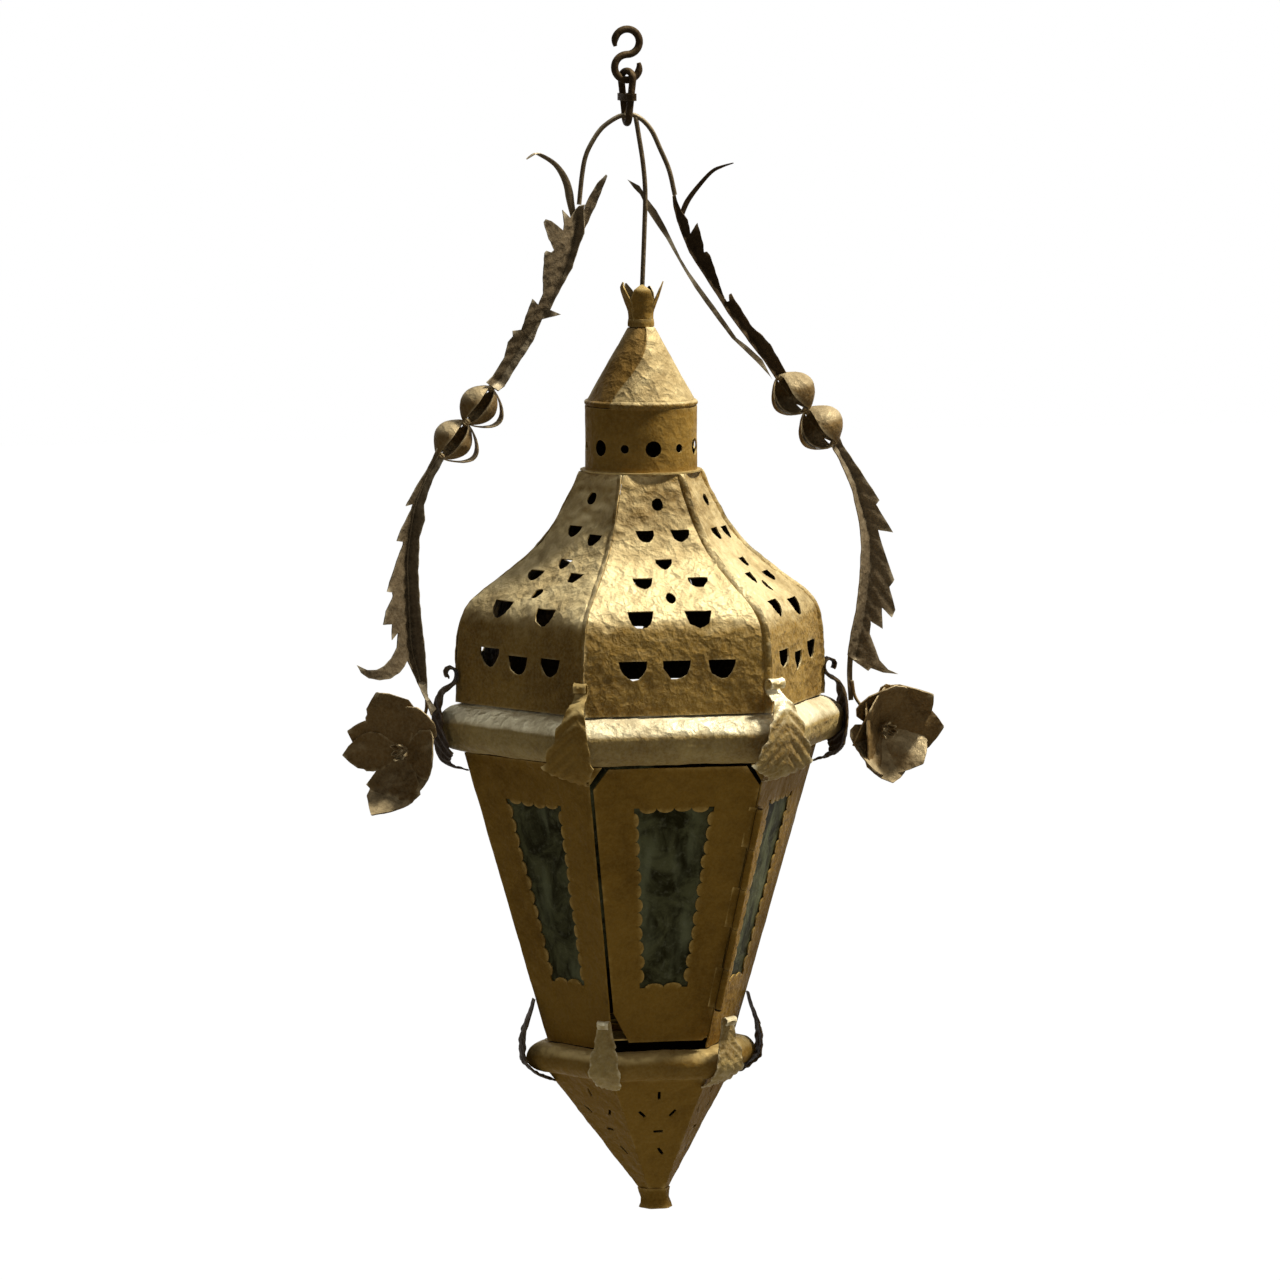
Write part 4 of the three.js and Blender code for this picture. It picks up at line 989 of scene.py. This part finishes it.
pane_foot = -WINDOW_TOP_MARGIN - WINDOW_LENGTH - PANE_LAP
pane_head = -WINDOW_TOP_MARGIN + PANE_LAP
pane_outline = [
    (-WINDOW_BOTTOM / 2 - PANE_LAP, pane_foot), (WINDOW_BOTTOM / 2 + PANE_LAP, pane_foot),
    (WINDOW_TOP / 2 + PANE_LAP, pane_head), (-WINDOW_TOP / 2 - PANE_LAP, pane_head),
]
flat, triangles = fill(pane_outline, (), 5)
for k in SIDES:
    if k:
        part = turned(wall(wall_outline, 80 + 3 * k), 60 * k)
        if k == 1:
            part = merge(part, corner_tab(1), *knuckles(1, 60, 1))
        if k == 5:
            part = merge(part, corner_tab(-1))
        make(f"wall_sheet_{k}", part, WALL, [f"body_panel_{k}"])
    pane = thicken(wall_shape(flat, SHEET + FIT), triangles, PANE_THICKNESS, (26, 0.12, 110 + k))
    body = "lantern" if k else "door"
    make(f"pane_{k + 1}", turned(pane, 60 * k), GLASS, [f"glass_pane_{k + 1}"], body)

pin_top = KNUCKLE_TOP - FIT
pin_foot = KNUCKLE_TOP + KNUCKLE_COUNT * KNUCKLE_LENGTH + FIT
pin = merge(
    barrel(pin_top - 1, pin_top, PIN_HEAD_RADIUS, 76),
    barrel(pin_top, pin_foot, PIN_RADIUS, 77),
    barrel(pin_foot, pin_foot + 1, PIN_HEAD_RADIUS, 78),
)
make("hinge_rod", pin, DARK_AND_SHADED, ["door_hinge_pin"])


# Bottom funnel

def pyramid_corner(k, down):
    """A corner edge's point at a distance down from the top, as a share of the height."""
    radius = PYRAMID_TOP_RADIUS + (PYRAMID_TIP_RADIUS - PYRAMID_TOP_RADIUS) * down
    turn = math.radians(-120 + 60 * k)
    return np.column_stack([
        radius * math.cos(turn) + PYRAMID_TIP_SHIFT * down,
        radius * math.sin(turn),
        PYRAMID_TOP - PYRAMID_HEIGHT * down,
    ])


# Across, down and turn of each slot
SLOTS = [(0, 14, 0), (-12, 30, 40), (10, 30, -40), (0, 46, 90), (2, 64, 30)]
pyramid_slant = math.hypot((PYRAMID_TOP_RADIUS - PYRAMID_TIP_RADIUS) * COS30, PYRAMID_HEIGHT)


def slot_outline(x, down, turn):
    angle = math.radians(turn)
    corners = [(-1, -3.5), (1, -3.5), (1.2, 0), (1, 3.5), (-1, 3.5), (-1.2, 0)]
    return [(
        x + a * math.cos(angle) - b * math.sin(angle),
        -down + a * math.sin(angle) + b * math.cos(angle),
    ) for a, b in corners]


top_half, tip_half = PYRAMID_TOP_RADIUS / 2, PYRAMID_TIP_RADIUS / 2
funnel_outline = [(-tip_half, -pyramid_slant), (tip_half, -pyramid_slant), (top_half, 0), (-top_half, 0)]
flat, triangles = fill(funnel_outline, [slot_outline(*form) for form in SLOTS], 2.6)
down = -flat[:, 1] / pyramid_slant
half = top_half + (tip_half - top_half) * down
share = (flat[:, 0] / half + 1) / 2
funnel_parts = []
for k in SIDES:
    left, right = pyramid_corner(k, down), pyramid_corner(k + 1, down)
    points = left + (right - left) * share[:, None]
    funnel_parts.append(thicken(points, triangles, SHEET, (14, 0.5, 131)))

# Level under the tip, radius and shift of the spout's rings
SPOUT = [(0, 10.9, 9), (-3, 10.3, 9.3), (-7, 9.6, 10), (-11, 10.4, 10.6), (-14, 11.4, 10.5)]
angles = full_turn(36)
spout_rows = []
for level, radius, shift in SPOUT:
    hexagonal = radius * (1 + 0.05 * np.cos(6 * angles))
    spout_rows.append(np.column_stack([
        hexagonal * np.cos(angles) + shift, hexagonal * np.sin(angles),
        np.full(36, PYRAMID_TOP - PYRAMID_HEIGHT + level),
    ]))
spout_faces = [tuple(reversed(face)) for face in grid_faces(5, 36, True)]
funnel_parts.append(thicken(np.vstack(spout_rows), spout_faces, SHEET, (7, 0.6, 140)))
make("funnel_sheet", merge(*funnel_parts), WALL, ["bottom_pyramid"])


# Leaves over the corners

def corner_leaf(turn, path, widths, spread, fold, teeth, veins, seed):
    """A sheet that follows an upright path of (distance, height). Its half widths at the path's points
    are scaled by a spread to the left and to the right."""
    line = Path(path)
    runs = np.linspace(0, line.length, 60)
    marks = np.linspace(0, 1, len(widths))

    def edge(scale):
        wide = np.interp(runs / line.length, marks, [width * scale for width in widths])
        phase = (runs / line.length * teeth) % 1
        notch = 1 - 0.16 * np.where(phase < 0.75, phase / 0.75, (1 - phase) / 0.25) * (wide > 8)
        return wide * notch

    left, right = edge(spread[0]), edge(spread[1])
    outline = [*zip(right, runs), *zip(-left[::-1], runs[::-1])]
    flat, triangles = fill(outline, (), 1.8, [[(0, 1), (0, line.length - 1)]])
    side, run = flat.T
    spots = line.at(run)
    way = line.way(run)
    out = unit(np.column_stack([-way[:, 1], way[:, 0]]))
    wing = np.abs(side)
    pattern = np.sin((run - wing * 0.9) * 2 * math.pi / veins[0])
    rise = veins[1] * pattern * smooth(wing / 3) * smooth((run - 14) / 8) - fold * wing
    points = np.column_stack([spots[:, 0] + out[:, 0] * rise, side, spots[:, 1] + out[:, 1] * rise])
    return turned(thicken(points, triangles[:, ::-1], LEAF_SHEET, (8, 0.4, seed)), turn)


leaf_wall = WAIST_RADIUS + SEAM_HEIGHT / COS30 + FIT + LEAF_SHEET / 2
tail_wall = WAIST_RADIUS + TAPER * (BODY_TOP - 13) + FIT + LEAF_SHEET / 2
waist_path = [
    (leaf_wall + 3.4, 35.6), (leaf_wall + 4.6, 38.2), (leaf_wall + 3.2, 40.6), (leaf_wall + 0.9, 40.2),
    (leaf_wall, 37), (leaf_wall + 1.4, 32.5), (WAIST_LEAF_REACH - 6.5, 27), (WAIST_LEAF_REACH - 2, 19),
    (WAIST_LEAF_REACH, 8), (WAIST_LEAF_REACH - 0.3, -4), (WAIST_LEAF_REACH - 2, -14),
    (WAIST_LEAF_REACH - 5, -22), (WAIST_LEAF_REACH - 12, -27.2), (tail_wall, BODY_TOP - 13),
]
WAIST_WIDTHS = [6.5, 7, 7, 7, 9, 13, 17, 19.5, 23, 28, 30, 23, 7, 3, 1.5]
WAIST_SPREADS = [(0.95, 0.35), (1.0, 0.95), (0.9, 0.9), (0.85, 0.9), (0.9, 0.8), (0.9, 0.9)]
RING_SPREADS = [(1, 0.85), (0.55, 1.55), (0.9, 0.9), (0.9, 0.9), (0.9, 0.9), (0.9, 0.9)]
RING_WIDTHS = [4, 5, 6.5, 9, 11.5, 13, 13, 11, 8, 3]
pyramid_slope = (PYRAMID_TOP_RADIUS - PYRAMID_TIP_RADIUS) / PYRAMID_HEIGHT
for index in SIDES:
    turn = -120 + 60 * index
    is_side = index % 3 == 2
    leaf = corner_leaf(
        turn, waist_path, WAIST_WIDTHS, WAIST_SPREADS[index], 0.25 if is_side else 0.09, 7, (9.5, 0.55),
        150 + index,
    )
    # Painted light and shade: the leaves at the sides take the near-black sheet as shade, and the
    # front-right and back leaves take the lighter gold as light.
    colour = DARK_AND_SHADED if is_side else (NECK if index == 0 else LIT_GOLD)
    make(f"waist_foliage_{index + 1}", leaf, colour, [f"waist_leaf_{index + 1}"])

    if index < 2:
        tip = [(1.5, 29.5), (3.2, 32), (1.2, 33.6), (-0.8, 32), (-0.6, 27)]
    else:
        tip = [(-9, 41), (-6, 31)]
    tip += [(-1, 17), (0, 7), (-1, -3), (-5.5, -8.5), (-13, -14)]
    lean = PYRAMID_TIP_SHIFT * math.cos(math.radians(turn)) / PYRAMID_HEIGHT
    tail = PYRAMID_TOP_RADIUS - 7 * (pyramid_slope - lean) + FIT + LEAF_SHEET / 2
    ring_path = [(RING_LEAF_REACH + r, LOWER_ROLL_HEIGHT + z) for r, z in tip]
    ring_path.append((tail, PYRAMID_TOP - 7))
    leaf = corner_leaf(turn, ring_path, RING_WIDTHS, RING_SPREADS[index], 0.09, 5, (7, 0.4), 170 + index)
    # Painted light and shade: the leaves at the sides take the near-black sheet as shade, and the others
    # take the lighter gold as light.
    colour = DARK_AND_SHADED if is_side else LIT_GOLD
    make(f"ring_foliage_{index + 1}", leaf, colour, [f"ring_leaf_{index + 1}"])


# Leaves of the arms, drawn as seen from the front

def leaf_sheet(outline, midrib, folds, seed, spacing=2.2, y=0.0, curl=0.012):
    """A leaf in the plane of the arms whose wings fold back from its midrib."""
    flat, triangles = fill(outline, (), spacing, [midrib] if midrib else [])
    points = np.column_stack([flat[:, 0], np.full(len(flat), y), flat[:, 1]])
    if midrib:
        line = resample(midrib, 1.0, False)
        nearest = ((flat[:, None] - line[None]) ** 2).sum(2).argmin(1)
        ways = np.gradient(line, axis=0)[nearest]
        off = flat - line[nearest]
        away = np.sqrt((off ** 2).sum(1))
        is_right = (ways[:, 0] * off[:, 1] - ways[:, 1] * off[:, 0]) < 0
        slope = np.where(is_right, folds[1], folds[0])
        relief = 0.4 * np.sin((nearest - away * 1.2) * 2 * math.pi / 11) * smooth(away / 3)
        points[:, 1] -= slope * away - curl * away ** 2 + relief
    return thicken(points, triangles, LEAF_SHEET, (9, 0.45, seed))


LEFT_TOP_LEAF = [
    (-45, 362), (-47.5, 358.5), (-51, 354), (-57.5, 360), (-56, 350), (-56.5, 345.5), (-66, 352.5),
    (-70.5, 354), (-72, 352), (-68, 340), (-63.5, 332), (-65.5, 330.5), (-69.5, 332), (-71, 330.5),
    (-71.5, 313), (-70.5, 302), (-74, 294), (-79, 298.5), (-83.5, 286.5), (-86, 277), (-93, 276.5),
    (-92.5, 272.5), (-96, 268.5), (-98, 258), (-106, 245), (-111.5, 241), (-103, 235), (-98.5, 238),
    (-90.5, 250.5), (-84, 260), (-78, 269), (-73, 279.5), (-71, 284), (-59, 287.5), (-65.5, 290.5),
    (-61, 299.5), (-55.5, 309.5), (-50, 319.5), (-44, 337.5), (-41.5, 343.5), (-41.5, 363),
]
LEFT_TOP_RIB = [
    (-44.5, 358), (-46, 346.5), (-48.5, 333), (-54, 318.5), (-66, 293.5), (-72, 283), (-86, 264),
    (-101.5, 241.5),
]
LEFT_TOP_BLADE = [
    (-43.5, 345), (-41.5, 351.5), (-40, 362), (-36.5, 369.5), (-31, 378), (-25.5, 384), (-24.5, 383),
    (-27, 375.5), (-31.5, 364.5), (-37, 353), (-41.5, 343.5),
]
LEFT_LOW_LEAF = [
    (-146, 195.5), (-148.5, 188), (-153.5, 179), (-160, 170), (-168.5, 156), (-162.5, 157),
    (-163.5, 153), (-171.5, 141), (-175.5, 132), (-170, 131), (-170, 129), (-175.5, 118),
    (-183.5, 97.5), (-179, 96.5), (-178.5, 94), (-184.5, 84), (-186.5, 74.5), (-179.5, 74.5),
    (-180, 63.5), (-175, 68.5), (-176, 58), (-180.5, 51), (-186, 46.5), (-192, 43.8), (-199, 44),
    (-206.5, 47.5), (-203.5, 42), (-198, 38.2), (-190, 36.4), (-182, 37), (-174.5, 40.5), (-170.5, 44.3),
    (-167.5, 48.5), (-160.5, 34.5), (-156.5, 22.5), (-153, 11),
    (-149, 15), (-154, 23), (-153.5, 30), (-155.5, 55), (-157.5, 71.5), (-159, 88.5), (-160, 111),
    (-159, 134), (-155.5, 145.5), (-155.5, 156.5), (-149.5, 173.5), (-140.5, 189),
]
LEFT_LOW_RIB = [
    (-144.5, 190), (-153.5, 174.5), (-161, 155.5), (-164, 139.5), (-166.5, 118.5), (-166, 97), (-165, 73),
    (-163.5, 55), (-158, 33.5),
]
RIGHT_TOP_LEAF = [
    (22, 368), (24, 359), (26, 351), (29, 342.5), (34.5, 329), (42, 317.5), (48.5, 307.5), (55.5, 297),
    (62.5, 286), (71, 274.5), (78.5, 264.5), (87.5, 253.5), (97, 239.5), (104, 243), (98.5, 253),
    (92, 264), (86.5, 270), (82.5, 273), (78, 278), (72, 287.5), (66, 296.5), (64, 300), (62.5, 299),
    (63, 294.5), (61.5, 294), (59.5, 296.5), (54, 312), (51, 320.5), (48.5, 327), (46.5, 329.5),
    (44.5, 329), (44, 334), (39.5, 349.5), (38, 347.5), (35, 342), (33, 351.5), (28.5, 357.5), (26, 364),
    (24, 369.5),
]
RIGHT_BLADE = [
    (-9, 380), (-0.5, 375.5), (5.5, 366), (11.5, 358.5), (18.5, 346), (29, 324.5), (35, 315),
    (43.5, 303.5), (53, 291), (62, 278.5), (69, 268.5), (77, 262.5), (87.5, 253), (95, 238.5),
    (93.5, 241), (83, 252), (74, 260.5), (66, 268), (59, 277), (48.5, 291), (39.5, 303.5), (31.5, 316.5),
    (18.5, 339), (11, 349.5), (5.5, 358), (0, 369.5), (-4.5, 374),
]
RIGHT_LOW_LEAF = [
    (136, 192.5), (142.5, 182), (147.5, 170.5), (152, 160), (156.5, 137.5), (157.5, 121), (156, 95),
    (153.5, 75.5), (150, 60.5), (148, 44.5), (156, 38), (163.5, 32.5), (165.5, 34.5), (174.5, 31),
    (187.5, 29), (178.5, 33), (172, 40), (165, 58.5), (165.5, 67.5), (174, 62), (173.5, 77), (181, 70),
    (183.5, 75), (179, 91.5), (182.5, 96.5), (175, 117), (170.5, 132), (181.5, 130), (169, 150),
    (171.5, 153),
    (159, 172), (145, 192.5), (143, 197),
]
RIGHT_LOW_RIB = [
    (141, 191), (153, 169.5), (159, 148.5), (165, 126.5), (165.5, 103.5), (162, 75.5), (158.5, 58),
    (155, 44),
]

left_top = merge(
    leaf_sheet(LEFT_TOP_LEAF, LEFT_TOP_RIB, (1.0, 0.8), 201),
    leaf_sheet(LEFT_TOP_BLADE, [(-42.5, 346), (-37.5, 360), (-30, 375)], (0.3, 0.3), 202, 1.8, curl=0),
    ribbon([(-46, 0, 345), (-49.5, 0, 362), (-53, -1, 378), (-60.5, -3, 390), (-71, -6, 397),
            (-78, -8, 398.5), (-83.5, -9, 395.5)], [3, 4.5, 6, 5, 3.5, 3, 1]),
)
make("left_top_foliage", left_top, LEAF, ["left_upper_leaf"])
left_low = merge(
    leaf_sheet(LEFT_LOW_LEAF, LEFT_LOW_RIB, (0.9, 1.0), 203),
    tube(Path([(x, -0.6, z) for x, z in LEFT_LOW_RIB]).even(60), 1.1, 8, flatten=(1, 0.7)),
)
make("left_low_foliage", left_low, LEAF, ["left_lower_leaf"])
right_top = merge(
    leaf_sheet(RIGHT_TOP_LEAF, [(24, 363), (30, 344), (45, 318), (66, 287), (98, 243)], (0.5, 0.6), 204),
    ribbon([(28, 0, 352), (33, 0, 364), (41, -1, 375), (50, -3, 385), (57, -4, 388.5), (65, -5, 391)],
           [3.5, 4, 3.5, 3, 2.5, 0.8]),
)
# The right upper leaf takes the near-black sheet as painted shade.
make("right_top_foliage", right_top, DARK_AND_SHADED, ["right_upper_leaf"])
blade = leaf_sheet(RIGHT_BLADE, None, None, 205, 2.0, 2.3)
make("right_blade_sheet", blade, LEAF, ["right_blade"])
right_low = merge(
    leaf_sheet(RIGHT_LOW_LEAF, RIGHT_LOW_RIB, (0.32, 0.95), 206),
    ribbon([(151.5, 0, 50), (150.5, 0, 32), (151.5, 0, 12)], [4, 4, 3.6]),
)
make("right_low_foliage", right_low, LEAF, ["right_lower_leaf"])


# Pods

def pod(start, end, radius, strips):
    """A bud of bulged strips between two knots."""
    axis = end - start
    length = np.linalg.norm(axis)
    axis /= length
    side = np.array([0.0, -1.0, 0.0])
    other = np.cross(axis, side)
    parts = []
    shares = np.linspace(0, 1, 18)
    swell = np.sin(shares * math.pi) ** 0.75
    faces = [face[::-1] for face in grid_faces(18, 9)]
    for turn, width, bulge in strips:
        reach = 1.4 + (radius * bulge - 1.4) * swell
        half = math.radians(width / 2) * np.maximum(swell, 0.12) ** 0.35
        rows = []
        for share, out, spread in zip(shares, reach, half):
            angles = math.radians(turn) + np.linspace(-1, 1, 9) * spread
            ring = np.outer(np.cos(angles), side) + np.outer(np.sin(angles), other)
            rows.append(start + axis * length * share + ring * out)
        parts.append(thicken(np.vstack(rows), faces, LEAF_SHEET, (8, 0.3, 210)))
    for share in (0.03, 0.97):
        centre = start + axis * length * share
        line = centre + axis * np.linspace(-2, 2, 7)[:, None]
        parts.append(tube(line, 3.1 * np.array([0.5, 0.85, 1, 0.9, 1, 0.85, 0.5]), 10))
    return merge(*parts)


def pod_pair(side, upper, lower, radii, strips):
    """Two buds in a row, with strips of (turn, width, bulge). A strip with a large bulge has sprung."""
    upper, lower = np.array(upper, float), np.array(lower, float)
    middle = (upper + lower) / 2
    upper_bud = pod(upper, middle, radii[0], strips)
    lower_bud = pod(middle, lower, radii[1], strips)
    make(f"{side}_upper_bud", upper_bud, ROSE, [f"{side}_upper_pod"])
    make(f"{side}_lower_bud", lower_bud, ROSE, [f"{side}_lower_pod"])


pod_pair("left", (-106.7, 0, 236.5), (-143.2, 0, 189.5), (12.4, 13),
         [(-55, 80, 1), (55, 80, 1), (145, 104, 0.95), (-135, 90, 0.94), (-100, 20, 1.58)])
pod_pair("right", (99.2, 0, 241.5), (139.2, 0, 193), (15.5, 16),
         [(-42, 104, 1), (-142, 108, 0.95), (122, 112, 0.93), (74, 16, 1.1)])


# Roses

# Shares of the length, and of the half width there
PETAL = [
    (0, 0.16), (0.18, 0.5), (0.4, 0.86), (0.58, 1), (0.7, 0.97), (0.74, 0.86), (0.82, 0.74),
    (0.92, 0.42), (1, 0.03),
]


def petal(direction, length, width, cup, tilt, hook, seed):
    """One petal lying in the XZ plane, cupped towards -Y, with a ruffled edge and a pointed tip."""
    jitter = np.random.default_rng(seed)
    right = [(width / 2 * wide * jitter.uniform(0.92, 1.08), length * share) for share, wide in PETAL]
    left = [(-width / 2 * wide * jitter.uniform(0.92, 1.08), length * share) for share, wide in PETAL]
    flat, triangles = fill([*right, *left[::-1]], (), 2.2, [[(0, length * 0.06), (0, length * 0.92)]])
    across, up = flat.T
    share = up / length
    wide = np.abs(across) / (width / 2)
    forward = cup * share ** 1.3 + tilt * share - 0.22 * np.abs(across) * share
    forward += 1.6 * np.sin(across / width * 9 + seed) * share ** 2 * wide
    forward += hook * np.maximum(share - 0.75, 0) * length
    angle = math.radians(direction - 90)
    points = np.column_stack([
        across * math.cos(angle) - up * math.sin(angle),
        -forward,
        across * math.sin(angle) + up * math.cos(angle),
    ])
    return thicken(points, triangles, LEAF_SHEET, (9, 0.8, seed))


def rose(petals, seed):
    """Petals and stamens round a small cup."""
    parts = [petal(*form, seed + index) for index, form in enumerate(petals)]
    jitter = np.random.default_rng(seed)
    for turn in range(0, 360, 60):
        angle = math.radians(turn + jitter.uniform(-20, 20))
        reach = jitter.uniform(5, 8)
        x, y, z = reach * math.cos(angle), -10 - jitter.uniform(0, 4), reach * math.sin(angle)
        stamen = [(0, -1, 0), (x * 0.3, -4, z * 0.3), (x * 0.9, -6, z * 0.9), (x, y, z)]
        parts.append(ribbon(stamen, [3, 5, 5, 2], (-math.sin(angle), 0, math.cos(angle)), 0.3))
    cup = revolve([(0.01, -2), (3, -2), (3.8, 2), (2.6, 5), (0.01, 6)], 24)
    parts.append((cup[0][:, [0, 2, 1]] * np.array([1, -1, 1]), cup[1]))
    return merge(*parts)


def add_rose(side, foot, place, facing, stem, petals, seed):
    """A rose on its stalk, both placed from the foot of the arm."""
    flower = turned(rose(petals, seed), facing)
    from_foot = np.array([foot, 0, 0])
    line = Path([np.array(spot, float) + from_foot for spot in [place, *stem]])
    stalk = tube(line.even(24), 1.2, 10, start_side=(1, 0, 0))
    whole = merge((flower[0] + np.array(place) + from_foot, flower[1]), stalk)
    make(f"{side}_flower", whole, ROSE, [f"{side}_rose"])


# Petals as direction, length, width, cup, tilt and hook
LEFT_PETALS = [
    (68, 34, 34, 3, 1, 0.4), (-66, 30, 24, 2, 0, 0.3), (161, 41, 28, 4, 1, 0.5), (110, 44, 38, 7, 3, 0.4),
    (-5, 27, 36, 6, 3, 0.6), (-105, 43, 38, 8, 4, 1.8), (184, 40, 28, 6, 4, 0.6),
]
RIGHT_PETALS = [
    (146, 30, 50, 17, 7, 0.2), (96, 33, 50, 16, 6, 0.3), (50, 34, 44, 13, 5, 1.7),
    (2, 39, 38, 12, 4, 0.3), (-48, 31, 42, 15, 5, 0.2), (-92, 36, 34, 13, 4, 0.0),
    (-134, 33, 46, 14, 4, 0.9), (184, 27, 46, 17, 8, 0.2),
]
left_stem = [(-12, -7, 0), (-4.5, -2.85, 12), (-4, -2.85, 24)]
right_stem = [(13, -8, 2), (4.5, -2.85, 14), (2, -2.85, 26)]
add_rose("left", -ARM_REACH, (-22, -14, -14), -35, left_stem, LEFT_PETALS, 230)
add_rose("right", ARM_REACH, (22, -11, -8), 16, right_stem, RIGHT_PETALS, 250)

# The floor and the candle holder keep their own shapes
for node in ("floor_plate", "drip_pan", "candle_socket"):
    materials = frame["nodes"][node].data.materials
    materials.clear()
    materials.append(WALL)


# Camera, lights and the white room

VIEW_AZIMUTH = -13
VIEW_ELEVATION = 6
LENS, SENSOR = 240, 36
VIEW_WIDTH = 0.896
CENTRE_ABOVE_WAIST = 0.05775
CENTRE_LEFT = 0.0007
FLOOR_DEPTH = 0.45
FLOOR_REACH = 12


def seen_from(azimuth, elevation):
    """The way from the lantern to the right of its front and up, by two angles in degrees."""
    turn, rise = math.radians(azimuth), math.radians(elevation)
    return Vector((math.sin(turn) * math.cos(rise), -math.cos(turn) * math.cos(rise), math.sin(rise)))


def place_looking(name, data, place, way):
    """Adds a camera or a lamp at a place, turned to look along a way."""
    made = bpy.data.objects.new(name, data)
    made.location = place
    made.rotation_mode = "QUATERNION"
    made.rotation_quaternion = way.to_track_quat("-Z", "Y")
    bpy.context.scene.collection.objects.link(made)
    return made


back = seen_from(VIEW_AZIMUTH, VIEW_ELEVATION)
view_right = Vector((math.cos(math.radians(VIEW_AZIMUTH)), math.sin(math.radians(VIEW_AZIMUTH)), 0))
view_up = back.cross(view_right)
target = Vector(LANTERN_AT) + view_up * CENTRE_ABOVE_WAIST - view_right * CENTRE_LEFT
view = bpy.data.cameras.new("camera")
view.lens = LENS
view.sensor_width = SENSOR
view.clip_end = 60
camera = place_looking("camera", view, target + back * (VIEW_WIDTH * LENS / SENSOR), -back)
bpy.context.scene.camera = camera
bpy.context.scene.view_settings.view_transform = "Standard"


def area_light(name, way, distance, size, power, colour):
    lamp = bpy.data.lights.new(name, "AREA")
    lamp.shape = "DISK"
    lamp.size = size
    lamp.energy = power
    lamp.color = colour
    place_looking(name, lamp, Vector(LANTERN_AT) + way * distance, -way)


area_light("key", seen_from(76, 60), 2.6, 0.4, 100, (1, 0.97, 0.9))
area_light("fill", seen_from(-5, 10), 3, 1.8, 4, (1, 0.96, 0.9))


def seen_directly(tree):
    """One for rays of the camera and for those that metal and glass send on, and nought for others."""
    rays = add_node(tree, "ShaderNodeLightPath").outputs
    seen = rays["Is Camera Ray"]
    for kind in ("Is Glossy Ray", "Is Transmission Ray"):
        seen = add_node(tree, "ShaderNodeMath", {0: seen, 1: rays[kind]}, operation="MAXIMUM").outputs[0]
    return seen


white = bpy.data.materials.new("white_room")
white.use_nodes = True
tree = white.node_tree
tree.nodes.clear()
diffuse = add_node(tree, "ShaderNodeBsdfDiffuse", {"Color": (0.35, 0.35, 0.35, 1)})
glow = add_node(tree, "ShaderNodeEmission", {"Strength": 1.12})
share = add_node(tree, "ShaderNodeMath", {0: seen_directly(tree), 1: 0.9}, operation="MULTIPLY")
blend = add_node(tree, "ShaderNodeMixShader", {
    0: share.outputs[0], 1: diffuse.outputs[0], 2: glow.outputs[0],
})
add_node(tree, "ShaderNodeOutputMaterial", {"Surface": blend.outputs[0]})

floor_mesh = bpy.data.meshes.new("floor")
floor_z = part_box("bottom_pyramid")[0].z - FLOOR_DEPTH
corners = box_outline(FLOOR_REACH, -FLOOR_REACH, FLOOR_REACH)
floor_mesh.from_pydata([(x, y, floor_z) for x, y in corners], [], [(0, 1, 2, 3)])
floor_mesh.materials.append(white)
floor = bpy.data.objects.new("floor", floor_mesh)
bpy.context.scene.collection.objects.link(floor)

world = bpy.data.worlds.new("room")
bpy.context.scene.world = world
world.use_nodes = True
tree = world.node_tree
tree.nodes.clear()
plain = add_node(tree, "ShaderNodeBackground", {"Color": (0.9, 0.87, 0.82, 1), "Strength": 0.11})
bright = add_node(tree, "ShaderNodeBackground", {"Color": (1, 1, 1, 1)})
blend = add_node(tree, "ShaderNodeMixShader", {
    0: seen_directly(tree), 1: plain.outputs[0], 2: bright.outputs[0],
})
add_node(tree, "ShaderNodeOutputWorld", {"Surface": blend.outputs[0]})
